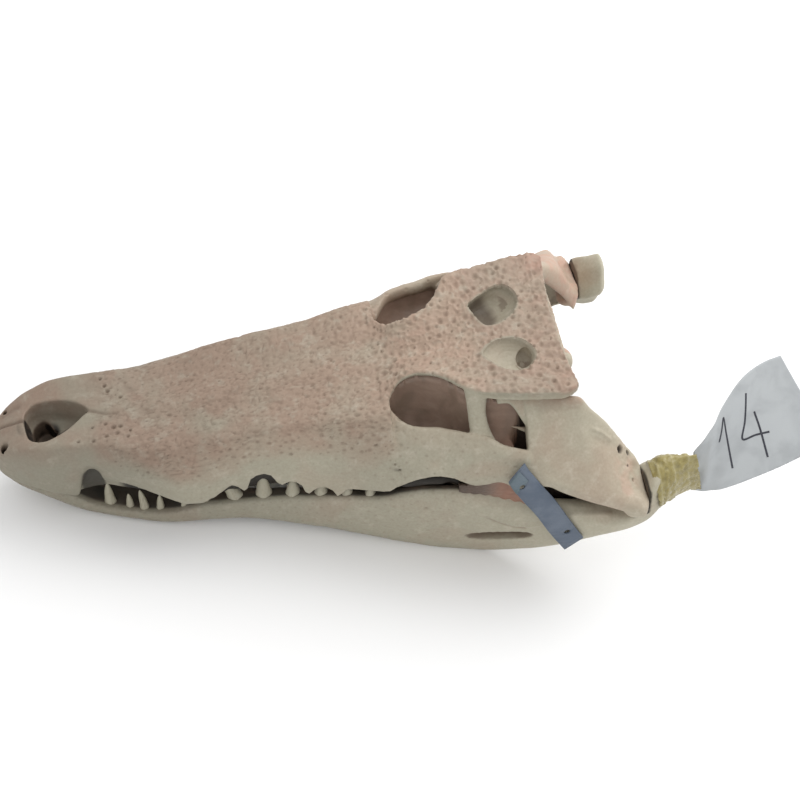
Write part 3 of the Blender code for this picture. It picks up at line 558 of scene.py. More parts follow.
def cheek_side(label, sign):
    """The cheek bone below the eye and the quadrate behind it with its two jaw condyles."""
    jugal = loft(
        f"jugal_{label}_shape", places(272, JUGAL_END + 0.6, 1.6),
        lambda x: on_side(jugal_ring(x, sign > 0), sign),
    )
    rings = []
    for x in places(JUGAL_END - 0.4, CONDYLE_END, 1.8):
        rings.append(rounded(on_side(quadrate_ring(x), sign, FAR_SWELL)))
    round_off(rings, ((0.95, 1.2), (0.86, 2.2), (0.72, 3.0)))
    quadrate = to_object(f"quadrate_{label}_shape", skin(rings))
    shapes = [jugal, quadrate, corner_plate(label, sign)]
    for knob, (place, radius) in CONDYLES.items():
        middle = on_side([Vector(place)], sign)[0]
        shapes.append(ball(f"condyle_{knob}_{label}", middle, (radius, radius * 1.1, radius)))
    return shapes


# Outlines of the two openings in the roof, x and distance from the middle of the skull
UPPER_MIDDLE = (361, 22.5)
UPPER_RIMS = {
    1: [
        (341, 25.6), (346, 30), (353, 34.2), (361, 38.7), (369.5, 39.2), (375.8, 33), (377.4, 22.5),
        (372, 13.5), (366, 8.5), (358, 4.8), (350, 5.2), (344, 15),
    ],
    -1: [
        (342.5, 19), (348.6, 10.8), (357, 7.2), (369.5, 8.8), (377.4, 16.3), (379.8, 25.7),
        (374.5, 35.5), (366, 39.3), (356, 36.6), (348, 29.5),
    ],
}


def within_upper_rim(x, y):
    """1 for places inside the outline of an upper opening, 0 for those outside."""
    inside = np.zeros(len(x))
    middle_x, middle_y = UPPER_MIDDLE
    for sign, rim in UPPER_RIMS.items():
        away = np.array(rim) - UPPER_MIDDLE
        turns = np.arctan2(away[:, 1], away[:, 0])
        reach = np.interp(
            np.arctan2(sign * y - middle_y, x - middle_x), np.sort(turns),
            np.hypot(*away.T)[np.argsort(turns)], period=2 * math.pi,
        )
        share = np.hypot(x - middle_x, sign * y - middle_y) / reach
        inside = np.maximum(inside, fade(share, 0.95, 1.05) * (sign * y > 0))
    return inside


def upper_funnel(sign, grow, levels):
    """A funnel under an opening of the roof; its rings shrink and wander as they go down."""
    table = np.array(sorted(levels), float)
    middle_x, middle_y = UPPER_MIDDLE
    rings = []
    for z in places(table[0, 0], table[-1, 0], 1.5):
        share, ahead, out = (float(np.interp(z, table[:, 0], table[:, k])) for k in (1, 2, 3))
        ring = []
        for x, y in UPPER_RIMS[sign]:
            away = Vector((x - middle_x, y - middle_y, 0))
            away *= share + grow / max(away.length, 6)
            ring.append((middle_x + away.x + ahead, sign * (middle_y + away.y + out), z))
        rings.append(tidy_ring(ring, 8))
    return to_object(f"upper_{sign}", skin(rings))


UPPER_LEVELS = {
    # Height, share of the rim's width, shift to the rear and shift outwards
    1: (
        (92, 1.22, 0, 0), (81, 1.1, 0, 0), (77, 1, 0, 0), (74, 0.95, -0.6, 0.2),
        (71, 0.87, -1.6, 0.7), (68, 0.75, -3.2, 1.5), (65.5, 0.58, -4.6, 2.3),
        (64, 0.36, -5.6, 2.9), (63.2, 0.12, -6, 3.1),
    ),
    -1: (
        (92, 1.22, 0, 0), (81, 1.1, 0, 0), (77, 1, 0, 0), (74, 0.88, 0.4, 0.3),
        (71.5, 0.72, 1.4, 0.6), (69.2, 0.5, 2.6, 0.8), (68.2, 0.2, 3.2, 1),
    ),
}


def jaw_ring(x):
    """A cross-section of one side of the lower jaw, from its upper edge round its outside."""
    top = jaw_top(x)
    out = jaw_outside(x)
    low = jaw_bottom(x)
    inner = jaw_inside(x)
    ridge_share = min(1.0, max(0.0, (x - 285) / 30)) * min(1.0, max(0.0, (440 - x) / 20))
    shelf = between(top, out, 0.4)
    shelf.y = max(shelf.y, top.y) + 1.2 + 2.6 * ridge_share
    heel = min(6.0, (low.y - inner.y) * 0.5)
    flare = 0.6 * min(1.0, max(0.0, (x - 385) / 40))
    roof_z = top.z - 1.0
    roof_y = inner.y + (top.y - inner.y) * 0.28 if x > 60 else inner.y
    return [
        top,
        shelf,
        out,
        between(out, low, 0.55) + Vector((0, 2.2, -1.0)),
        low,
        Vector((x, low.y - heel, low.z + (1.0 if x > 60 else 0.3))),
        Vector((x, inner.y + (low.y - heel - inner.y) * flare, (low.z + inner.z) / 2)),
        inner,
        Vector((x, roof_y, (roof_z * 2 + inner.z) / 3)),
        Vector((x, (roof_y * 2 + top.y) / 3, roof_z)),
    ]


def join(name, shapes):
    """One object of all the shapes, which still cross each other."""
    bm = bmesh.new()
    for shape in shapes:
        bm.from_mesh(shape.data)
        bpy.data.objects.remove(shape)
    return to_object(name, bm)


def remesh(piece, size, smoothing):
    """Melts crossing shapes into one closed surface of even quads and eases its edges."""
    made = piece.modifiers.new("melt", "REMESH")
    made.mode = "VOXEL"
    made.voxel_size = size
    made.adaptivity = 0.0
    made.use_smooth_shade = True
    ironed = piece.modifiers.new("iron", "SMOOTH")
    ironed.factor = 0.5
    ironed.iterations = smoothing
    return settle_modifiers(piece)


def coordinates(mesh):
    """The places of the mesh's vertices, one row each."""
    co = np.empty(len(mesh.vertices) * 3, np.float32)
    mesh.vertices.foreach_get("co", co)
    return co.reshape(-1, 3).astype(float)


def place_vertices(mesh, co):
    mesh.vertices.foreach_set("co", co.astype(np.float32).ravel())
    mesh.update()


def normals(mesh):
    """The normals of the mesh's vertices, one row each."""
    no = np.empty(len(mesh.vertices) * 3, np.float32)
    mesh.vertex_normals.foreach_get("vector", no)
    return no.reshape(-1, 3).astype(float)


def mask(mesh, name, values):
    """Keeps a number for each vertex, which the materials read by its name."""
    made = mesh.attributes.get(name) or mesh.attributes.new(name, "FLOAT", "POINT")
    made.data.foreach_set("value", np.asarray(values, np.float32))


FAR_REACH = [
    # Place along the skull and how far the right side stands further out and up there
    (3, 6.5), (26, 6), (45, 6.8), (60, 5.5), (80, 2.9), (108, 0.6), (130, 3), (151, 5),
    (190, 8.6), (225, 6.4), (262, 6.8), (290, 9.5), (305, 10.4), (325, 7.5), (350, 2.6),
    (378, 3.4), (402, 2.6), (443, 2.6),
]


def far_reach(co):
    """The places with the right side of the skull pulled a little outwards and up, as it is."""
    x, y = co[:, 0], co[:, 1]
    reach = np.interp(x, *np.array(FAR_REACH).T)
    rear = ease(x, 262, 284)
    share = ease(y, 15, 42) * (1 - rear) + ease(y, 36, 58) * rear
    share = share * fade(x, 443, 455)
    return co + np.stack([0 * x, 0.68 * reach * share, 0.35 * reach * share], 1)


BOX_MARGIN = 0.1 * MM


def into_model(piece):
    """Brings a finished mesh into the model's frame and inside the CAD model's box."""
    place_vertices(piece.data, far_reach(coordinates(piece.data)))
    piece.data.transform(SKULL_TO_MODEL)
    co = coordinates(piece.data)
    low = np.array(CAD_BOX[0]) + BOX_MARGIN
    high = np.array(CAD_BOX[1]) - BOX_MARGIN
    place_vertices(piece.data, np.clip(co, low, high))
    return piece


# Places on the bones that the relief follows, in millimetres
FESTOONS = [
    (118, 0), (124, 0.5), (133.5, 4.9), (143, 3.4), (149, 6.3), (154.3, 6.2), (158.8, 3.6),
    (164.1, 2.6), (168.1, -2.3), (171.9, -10), (174.2, -8.8), (177.2, 0.5), (181.6, 2.6),
    (186.8, 2.6), (191.8, 0.6), (195.5, -6.8), (198.8, -9.3), (200.9, -6.1), (204.8, -2.2),
    (208.7, -2), (212.5, -5.6), (214.5, -13.6), (217.2, -15), (220.2, -10.1), (224, -6),
    (228.5, -4.2), (233.6, -7.4), (236.6, -14.6), (240.1, -10), (243, -4), (247.6, -3.2),
    (252, -3.6), (258, -4.4), (263, -4.6), (268, -5), (272.1, -4.2), (276.4, 0), (281.4, 0),
]
FORAMINA = [
    (73.8, -16, 38, 1.3), (82.7, -13.8, 38, 1.5), (88, -17, 37.7, 1.9), (92.7, -16.4, 37, 1.7),
    (83.1, -24.7, 38.5, 1.6), (90.5, -22.6, 37.7, 2), (97.7, -25.5, 36.8, 1.4),
    (64.2, -27, 38.4, 1.3), (74.3, -27.7, 38.6, 1.4), (99.3, -20.4, 36.6, 1.3),
    (83, 19.7, 38.3, 1.6), (85, 15.2, 37.9, 1.8), (80.4, 25.3, 38.6, 1.3), (93.6, 9, 37.3, 1.5),
    (279, -72.7, 25.5, 1.3), (276, -70, 29, 1), (439.6, -95.5, 12.6, 1.6),
    (292, -76.3, 27.9, 1),
]
JAW_FORAMINA = [(297.6, -80.9, -11.7, 1.7), (236, -62, -33, 1.1), (150, -48, -38, 1.1)]
SUTURES = [
    # Width, height and darkness of a stroke, then its places
    (1.3, -1.5, 1, [(2, 0.5, 20), (9.2, 2.2, 26.4), (18.3, 0.9, 30.9), (26.3, 0.5, 33.4)]),
    (1.3, -0.9, 0.8, [(70, 0.4, 37.5), (76.8, -2.1, 37.7), (83.2, -4.9, 37.8), (90, -5.2, 37.8)]),
    (2.2, -0.9, 0.45, [(11, 11.2, 27), (16.5, 12.9, 29.6), (21.7, 13.9, 31.8)]),
    (1.4, 1.1, 0, [
        (386, -72, 49.5), (393, -71, 51), (399.4, -70.9, 51.5), (409.7, -73, 48.9),
        (417.1, -74, 44.2), (424, -76, 37),
    ]),
    (1.8, -0.9, 0.35, [
        (384, -75, 46.5), (395, -74, 47.5), (406, -76, 45.5), (414, -78, 41), (421, -79.5, 35),
    ]),
    (1.5, 0.9, 0, [(392, -80, 40), (401, -80.5, 40.5), (410, -82, 38), (417, -84, 33)]),
]
JAW_RIDGES = [
    (2.4, 1.3, 0, [
        (322, -84.8, -0.6), (328, -86.5, -4), (344.5, -92.8, -18.3), (358, -95.3, -26),
        (370, -97.5, -27), (381.5, -99.7, -21.1), (399.5, -102.3, -12.3), (421.8, -106.6, -9.5),
    ]),
    (1.3, -0.8, 0.75, [
        (312, -82.5, -0.5), (322, -85.8, -3.4), (328, -87.5, -7), (344.5, -93.2, -21.3),
        (358, -95.6, -29), (366, -96.5, -31),
    ]),
]
DEEP_PITS = [
    # Place, radius, depth and darkness of single holes, which are painted black as shadow
    ((432.5, -78, 26.5), 3.4, 4, 1.2), ((439.5, -77, 19.5), 2.2, 3, 1.2),
    ((437, -86, 17), 1.3, 1.5, 1),
]


def tidy_ring(places, count=4):
    return rounded([Vector(place) for place in places], count)


def noise_of(points, size, seed):
    """Smooth random values from -1 to 1 at the points, with blobs of about the given size."""
    place = points / size + seed * 17.31
    cell = np.floor(place).astype(np.int64)
    part = place - cell
    part = part * part * (3 - 2 * part)
    total = np.zeros(len(points))
    for corner in range(8):
        step = np.array([corner & 1, corner >> 1 & 1, corner >> 2 & 1])
        key = (cell + step) * np.array([73856093, 19349663, 83492791]) + seed * 2654435
        key = key.sum(axis=1)
        key ^= key >> 13
        key = key * 1274126177 & 0x7FFFFFFF
        key ^= key >> 16
        value = (key & 0xFFFF) / 32767.5 - 1
        weight = np.where(step, part, 1 - part).prod(axis=1)
        total += weight * value
    return total


class Relief:
    """Raises and lowers the skin of a bone along its normals, and keeps masks of what it did."""

    def __init__(self, piece):
        self.mesh = piece.data
        self.co = coordinates(self.mesh)
        self.no = normals(self.mesh)
        self.rise = np.zeros(len(self.co))
        self.pit = np.zeros(len(self.co))
        self.tree = KDTree(len(self.co))
        for index, place in enumerate(self.co):
            self.tree.insert(place, index)
        self.tree.balance()

    def spot(self, place, radius, depth, dark=1.0, stretch=1.0, rim=0.12):
        """A pit with a faint raised rim, longer along the snout where it is stretched."""
        found = self.tree.find_range(place, radius * stretch * 1.7)
        index = np.array([item[1] for item in found], int)
        if not len(index):
            return
        away = self.co[index] - np.array(place)
        away[:, 0] /= stretch
        share = np.sqrt((away**2).sum(axis=1)) / radius
        bowl = fade(share, 0.15, 1.1)
        edge = np.exp(-(((share - 1.25) / 0.3) ** 2))
        self.rise[index] += depth * (rim * edge - bowl)
        self.pit[index] = np.maximum(self.pit[index], dark * bowl)

    def stroke(self, points, width, height, dark=0.0):
        """A ridge, or a groove where its height is below nothing, along smoothly joined places."""
        table = np.array([Vector(point)[:] for point in points])
        length = np.r_[0, np.cumsum(np.linalg.norm(np.diff(table, axis=0), axis=1))]
        fine = np.linspace(0, length[-1], max(3, int(length[-1] / (width * 0.6))))
        best = {}
        for place in zip(*(np.interp(fine, length, table[:, axis]) for axis in range(3))):
            for _, index, gap in self.tree.find_range(place, width * 2.6):
                if gap < best.get(index, 1e9):
                    best[index] = gap
        if not best:
            return
        index = np.fromiter(best.keys(), int)
        form = np.exp(-((np.fromiter(best.values(), float) / width) ** 2))
        self.rise[index] += height * form
        self.pit[index] = np.maximum(self.pit[index], dark * form)

    def scatter(self, weight, spacing, seed):
        """Random places on the skin where the weight allows them, at least a spacing apart."""
        rng = np.random.default_rng(seed)
        allowed = np.flatnonzero(weight > 0.08)
        order = rng.permutation(allowed)[:60000]
        taken = {}
        chosen = []
        for index in order:
            if rng.random() > weight[index]:
                continue
            place = self.co[index]
            key = tuple((place // spacing).astype(int))
            near = []
            for step in product((-1, 0, 1), repeat=3):
                near += taken.get(tuple(k + move for k, move in zip(key, step)), [])
            if all(((self.co[other] - place) ** 2).sum() >= spacing * spacing for other in near):
                taken.setdefault(key, []).append(index)
                chosen.append(index)
        return chosen, rng

    def settle(self):
        """Moves the vertices by what was raised and lowered, and keeps the pits' darkness."""
        place_vertices(self.mesh, self.co + self.no * self.rise[:, None])
        mask(self.mesh, "pit", np.clip(self.pit, 0, 1))


def smoothed(piece, rounds):
    """A CAD copy with its facets rounded off, still about its own size."""
    made = piece.modifiers.new("round", "SUBSURF")
    made.levels = rounds
    made.render_levels = rounds
    return settle_modifiers(piece)


def outline_cutter(name, rings):
    """A cutter skinned over smooth outlines, the widest first."""
    return to_object(name, skin([tidy_ring(ring) for ring in rings]))


UPPER_PIT = (371.5, -23.5)
UPPER_PIT_RADII = (5.2, 8.2)


def upper_opening(sign):
    """The cutters: deep and sloping to the front on the right, shallow with a pit on the left."""
    cutters = [upper_funnel(sign, 0.0, UPPER_LEVELS[sign])]
    if sign < 0:
        wide, deep = UPPER_PIT_RADII
        rings = []
        for z in places(63.5, 74.5, 1.0):
            share = 0.3 + 0.7 * float(ease(z, 62.5, 68))
            ring = []
            for turn in places(0, 2 * math.pi * 31 / 32, 2 * math.pi / 32):
                ring.append(Vector((
                    UPPER_PIT[0] + (z - 60) * 0.08 + wide * share * math.cos(turn),
                    UPPER_PIT[1] + deep * share * math.sin(turn), z,
                )))
            rings.append(ring)
        cutters.append(to_object("upper_pit", skin(rings)))
    return cutters


# The bone that the funnels are cut from
WALL_LEVELS = ((72, 1.0, 0, 0), (64, 0.95, 0, 0), (56, 0.85, 0, 0), (50, 0.5, 0, 0))
WALL_GROWTH = 5.0

NARIS_MIDDLE = (46, -2)
NARIS_RIM = [
    (26.6, -2), (27.4, 7.6), (33.3, 13.2), (45, 13.8), (57, 11.4), (65.6, 7.1), (71.2, 0.8),
    (65.8, -5.3), (57, -13.8), (45, -20.6), (36.6, -20.6), (29.8, -15.6),
]
NARIS_LEVELS = (
    # Height, share of the rim's width and shift to the rear
    (48, 1.06, 0), (38, 1, 0), (34, 0.99, 0), (30, 0.96, -0.4), (26, 0.91, -1),
    (22, 0.84, -1.6), (19, 0.74, -2.2), (17, 0.5, -2.4), (16.5, 0.3, -2.4),
)
THROAT_RIM = [
    (30.5, 0), (32, 5.5), (36.5, 9.5), (41, 8), (43, 4.5), (45, 3), (47.5, 0.5), (44.5, -4),
    (40, -12), (32, -9),
]


def naris_cutters():
    """The bowl of the nose opening and the throat in its floor."""
    mid_x, mid_y = NARIS_MIDDLE
    rings = []
    for z, share, back in NARIS_LEVELS:
        ring = []
        for x, y in NARIS_RIM:
            ring.append((mid_x + (x - mid_x) * share + back, mid_y + (y - mid_y) * share, z))
        rings.append(ring)
    bowl = outline_cutter("naris", rings)
    tube = [[(x, y, z) for x, y in THROAT_RIM] for z in (3.5, 12, 20, 28)]
    return [bowl, outline_cutter("throat", tube)]


# Middle and radii of the cutters of the snout on the right, and the pits beside the nose opening
SNOUT_CUTTERS = {
    "orbit": ((281.3, 38, 22.7), (26, 23, 25)),
    "window": ((281, 33, 1.5), (44, 14, 13)),
    "notch": ((67.6, 43, -6), (7.8, 14.5, 20)),
}
PIT_PLACE = (12.4, 15.4, 24)
PIT_SIZES = {-1: (3.4, 18), 1: (2.0, 9)}
CAD_GROWTH = 1.2


def cranium_skin(grain):
    """The whole cranium as one closed surface, before its relief."""
    tip = [0, 0.7, 1.6, 2.6, 4, 6, 8, 10.5, 13]
    nose = loft(
        "snout_shape", tip + places(15, SNOUT_END + 0.3, 1.5), lambda x: whole_ring(snout_half(x))
    )
    tools = naris_cutters()
    for _, sign in SIDES:
        place = on_side([Vector(PIT_PLACE)], sign)[0]
        tools.append(pit_cutter(f"pit_{sign}", place, *PIT_SIZES[sign]))
        for name, ((x, y, z), radii) in SNOUT_CUTTERS.items():
            tools.append(ball(f"{name}_{sign}", (x, sign * y, z), radii))
    cut(nose, *tools)
    forehead = loft(
        "frontal_shape", places(272, FRONTAL_END + 0.6, 1.5), lambda x: whole_ring(frontal_half(x))
    )
    rings = []
    for x in places(FRONTAL_END - 0.6, TABLE_END, 1.7):
        ring = whole_ring(table_half(x))
        # The rear edge of the roof is hollow in the middle and draws in at its corners
        pull = max(0.0, (x - 384) / 18) ** 2
        for point in ring:
            point.x -= 5.0 * pull * (1 - (point.y / 66) ** 2)
            point.y *= 1 - 0.1 * max(0.0, (x - 388) / 14) ** 2
        rings.append(rounded(ring))
    table = to_object("table_shape", skin(rings))
    case = smoothed(node_copy("braincase", CAD_GROWTH), 2)
    shapes = [nose, forehead, table, case]
    shapes += [upper_funnel(sign, WALL_GROWTH, WALL_LEVELS) for _, sign in SIDES]
    for label, sign in SIDES:
        shapes += cheek_side(label, sign)
        for node in ("postorbital_bar", "ectopterygoid"):
            shapes.append(smoothed(node_copy(f"{node}_{label}", CAD_GROWTH), 2))
    shapes.append(smoothed(node_copy("palate", 1.0), 2))
    # The pointed spur in the opening behind the left eye
    spur = bmesh.new()
    bmesh.ops.create_cone(spur, cap_ends=True, segments=12, radius1=2.8, radius2=0.5, depth=15)
    turn = Vector((-1, 0.35, 0.12)).to_track_quat("Z", "Y").to_matrix().to_4x4()
    move = Matrix.Translation((363, -63.5, 45)) @ turn
    bmesh.ops.transform(spur, matrix=move, verts=spur.verts)
    shapes.append(to_object("spur", spur))
    return remesh(join("cranium", shapes), grain, 10)


def creases(points, size, seed, sharp):
    """Thin winding lines: 1 where smooth random values cross nothing, and 0 away from it."""
    return np.clip(1 - np.abs(noise_of(points, size, seed)) * sharp, 0, 1) ** 1.5


def disc(x, y, middle, radii, full, none):
    """1 within an ellipse's share full of its radii, fading to 0 at its share none of them."""
    share = np.hypot((x - middle[0]) / radii[0], (y - middle[1]) / radii[1])
    return 1 - ease(share, full, none)


# Middle and radii of the nose opening as the masks take it
NARIS_BOWL = ((47, -3), (25, 18.5))


def carve_cranium(piece, depth):
    """The sculpture of the cranium: pits, worm-like furrows, rims, sutures and the tooth row."""
    relief = Relief(piece)
    co, no = relief.co, relief.no
    x, y, z = co.T
    across = np.abs(y)
    _, margin_z = margin.columns_at(x)
    shoulder_y, shoulder_z = shoulder.columns_at(x)
    # The scalloped edge of the upper jaw over the lower teeth
    drop = np.interp(x, *np.array(FESTOONS).T)
    gum_y, _ = gum.columns_at(x)
    reach = fade(z - margin_z, 2, 14)
    edge = reach * ease(across, gum_y + 1, gum_y + 5) * (x > 118) * (x < 282)
    z += drop * edge
    top = ease(no[:, 2], 0.15, 0.6)
    outer = ease(z, shoulder_z - 26, shoulder_z - 6)
    roof = top * outer
    snout_part = fade(x, 262, 285)
    front_part = ease(x, 52, 92)
    upward = ease(no[:, 2], 0.0, 0.35)
    # Low swells, then the worm-like furrows of the snout
    relief.rise += 0.5 * noise_of(co, 17.0, 3) * ease(x, 60, 110)
    relief.rise += 0.2 * noise_of(co, 7.0, 4) * upward
    warp = np.stack([noise_of(co, 9.0, seed) for seed in (11, 12, 13)], 1)
    for seed, long, wide, strength in ((21, 6.5, 2.6, 0.55), (22, 4.2, 2.0, 0.45)):
        stretched = (co + warp * 2.6) / np.array([long, wide, wide])
        worn = 0.35 + 0.65 * ease(noise_of(co, 3.6, seed + 50), -0.2, 0.5)
        share = creases(stretched, 1.0, seed, 3.0) * roof * snout_part * front_part * worn
        relief.rise -= depth * strength * share
        relief.pit = np.maximum(relief.pit, 0.55 * share)
    # Wrinkled, pitted bone of the forehead and the skull table
    table_part = top * ease(x, 262, 290) * ease(z, 52, 60) * fade(across - shoulder_y, 0, 3)
    sunk = within_upper_rim(x, y) * ease(z, 50, 54)
    below = ease(x, 340, 350) * ease(across, 48, 52) * fade(z - shoulder_z, -7, -4)
    table_part *= (1 - sunk) * (1 - below)
    for seed, size, strength in ((23, 4.6, 0.75), (24, 2.6, 0.4)):
        crease = creases(co + warp * 1.5, size, seed, 2.6)
        relief.rise += depth * strength * (crease - 0.35) * table_part
    # Weight, spacing, radius, depth, stretch, darkness and seed of each field of pits
    regions = (
        (roof * snout_part * ease(x, 70, 120) * 0.9, 4.4, 0.95, 0.5, 1.7, 0.6, 31),
        (roof * ease(x, 215, 275) * fade(x, 275, 300), 5.6, 1.5, 0.65, 1.15, 0.5, 32),
        (table_part * 0.42, 4.6, 1.8, 0.85, 1, 0.55, 33),
        (ease(np.abs(no[:, 1]), 0.3, 0.6) * snout_part * ease(x, 95, 150) * 0.6
         * ease(z, margin_z + 6, margin_z + 14), 7.0, 1.0, 0.3, 1.3, 0.3, 34),
        (ease(across, 60, 68) * ease(x, 255, 280) * fade(x, 350, 372) * ease(z, 12, 20)
         * 0.8, 5.4, 1.1, 0.4, 1.1, 0.32, 35),
    )
    for weight, spacing, radius, deep, stretch, dark, seed in regions:
        chosen, rng = relief.scatter(weight, spacing, seed)
        for index in chosen:
            size = radius * rng.uniform(0.4, 1.5)
            fall = depth * deep * rng.uniform(0.5, 1.25)
            shade_of = dark * rng.uniform(0.1, 1.5)
            relief.spot(relief.co[index], size, fall, shade_of, stretch, 0.22)
    # Raised rims of the eye sockets and the upper openings
    for _, sign in SIDES:
        ridge = [(p, sign * (brow(p).y - 1.5), brow(p).z) for p in places(274, 334, 4)]
        cheek = [(p, sign * (orbit_rim(p).y + 1.0), orbit_rim(p).z) for p in places(278, 362, 4)]
        relief.stroke(ridge, 2.8, 0.9)
        relief.stroke(cheek, 2.6, 0.6 if sign < 0 else 0.2)
        hoop = UPPER_RIMS[sign] + UPPER_RIMS[sign][:1]
        relief.stroke([(p, sign * q, 75.2 + (q - 15) * 0.12) for p, q in hoop], 2.8, 0.9)
    # Radial ridges behind the upper openings
    angle = np.arctan2(across - 23, x - 361)
    away = np.hypot(across - 23, x - 361)
    rays = np.sin(angle * 18 + 1.4 * noise_of(co, 9.0, 41))
    fan = ease(no[:, 2], 0.75, 0.95) * ease(away, 22, 27) * ease(x, 374, 384) * ease(z, 70, 74)
    relief.rise += 0.45 * depth * rays * fan
    relief.pit = np.maximum(relief.pit, 0.35 * fan * ease(-rays, 0.3, 1.0))
    for place in FORAMINA:
        relief.spot(place[:3], place[3], 1.5, 0.9, 1.15, 0.25)
    for place, radius, deep, dark in DEEP_PITS:
        relief.spot(place, radius, deep, dark, 1.0, 0.05)
    for width, height, dark, points in SUTURES:
        relief.stroke(points, width, height, dark)
    worn = ease(x, 422, 432) * ease(z, 6, 14)
    relief.rise += 0.3 * noise_of(co, 2.2, 51) * worn
    relief.settle()
    tint_cranium(piece, relief, table_part, sunk, worn)
    darken_cranium(piece, co, sunk, drop)
    return piece


def tint_cranium(piece, relief, table_part, sunk, worn):
    """The pink stains of the joints and rear corners, and the warm upper side."""
    co, up = relief.co, relief.no[:, 2]
    x, y, z = co.T
    across = np.abs(y)
    _, margin_z = margin.columns_at(x)
    shoulder_y, shoulder_z = shoulder.columns_at(x)
    patch = ease(noise_of(co, 8.0, 61), -0.35, 0.35)
    far = ease(x, 398, 412) * (y > 0) * ease(z, 2, 12)
    corner = ease(x, 366, 396) * ease(z, 68, 76) * ease(y, 30, 52)
    rear_left = ease(x, 384, 396) * ease(z, 74, 78) * ease(-y, 40, 56)
    mask(piece.data, "pink", np.maximum.reduce([
        0.45 * worn * patch * ease(across, 76, 82) * (y < 0),
        0.85 * np.maximum(far, corner) * (0.55 + 0.45 * patch),
        0.6 * rear_left * patch,
        table_part * ease(noise_of(co, 5.0, 63), 0.1, 0.6) * 0.22,
    ]))
    drift = 0.3 * noise_of(co, 30.0, 64) + 0.16 * noise_of(co, 11.0, 66)
    height = (z - margin_z) / np.maximum(shoulder_z - margin_z, 12)
    warm = ease(height + drift, 0.35, 1.2)
    rear = ease(up + drift, 0.1, 1.0) * (1 - 0.55 * ease(across - shoulder_y, -4, 14))
    warm += (np.where(y > 30, np.maximum(rear, 0.6), rear) - warm) * ease(x, 256, 292)
    warm = np.where(x > 366, np.maximum(warm * ease(z, 60, 70), 0.3), warm)
    warm += (0.3 - warm) * sunk
    mask(piece.data, "warm", warm)


NARIS_NEAR_RIM = [
    (26.6, -2), (29.8, -15.6), (36.6, -20.6), (45, -20.6), (57, -13.8), (66, -5), (71, 1),
]


def darken_cranium(piece, co, sunk, drop):
    """The painted brown shade of the hollows, and the painted black shadow of the throat and of the
    wall behind the teeth.
    """
    x, y, z = co.T
    across = np.abs(y)
    # Painted brown shade: the nose opening, the floors of the upper openings, the groove under the
    # table
    bowl = disc(x, y, *NARIS_BOWL, 0.93, 1.02) * fade(z, 32, 35)
    bowl *= ease(z, 4, 8)
    funnel = disc(x, y, (350, 21), (12, 16), 0.7, 1.25) * fade(z, 72, 76)
    funnel *= (y > 0) * sunk
    pit = disc(x, y, (372, -23.5), (7, 10), 0.7, 1.1) * fade(z, 67, 70)
    pit *= ease(z, 50, 54)
    groove = ease(x, 368, 378) * fade(x, 398, 408) * fade(np.abs(z - 67), 2, 6)
    groove *= ease(across, 55, 58)
    dims = [0.2 * bowl, 0.9 * funnel, 0.5 * pit, 0.15 * sunk, 0.3 * groove]
    mask(piece.data, "painted_shade", np.maximum.reduce(dims))
    # Painted black shadow: the throat and the gutter in front of it
    throat = disc(x, y, (38.5, 0), (10, 12), 0.85, 1.2) * fade(z, 16.3, 19)
    near_rim = np.interp(x, *np.array(NARIS_NEAR_RIM, float).T)
    depth_of = (y - near_rim) * SIGHT_SLOPE - (35 - z)
    gutter = fade(depth_of, 2.0, 5.0) * fade(x, 52, 66) * fade(z, 30, 33.5)
    gutter *= disc(x, y, *NARIS_BOWL, 0.98, 1.04)
    throat = np.maximum(throat, gutter) * ease(z, 2, 4)
    # Painted shadow in the notch for the large lower tooth, and on the wall behind the tooth row
    notch = fade(np.abs(x - 67.6), 7, 9.5) * ease(across, 20, 24) * fade(z, 8, 14)
    notch *= fade(across, 33, 35)
    margin_y, margin_z = margin.columns_at(x)
    wall = ease(margin_y - across, -0.1, 0.9) * fade(z - margin_z - drop, 0.0, 1.6)
    wall *= ease(x, 84, 92) * fade(x, 276, 290) * ease(across, 8, 20)
    # Painted shadow on the inner strut under the cheek, and in single deep holes
    strut = ease(x, 272, 280) * fade(x, 340, 346) * fade(across - margin_y, -3.4, -2.4)
    strut *= fade(z, 24, 28) * ease(across, 50, 58)
    holes = 0 * x
    for place, radius, _, _ in DEEP_PITS:
        away = np.linalg.norm(co - place, axis=1)
        holes = np.maximum(holes, 0.85 * fade(away, radius * 0.5, radius * 1.15))
    darks = [throat, 0.8 * notch, 0.97 * wall, 0.97 * strut, holes, 0.45 * funnel]
    mask(piece.data, "painted_black_shadow", np.maximum.reduce(darks))


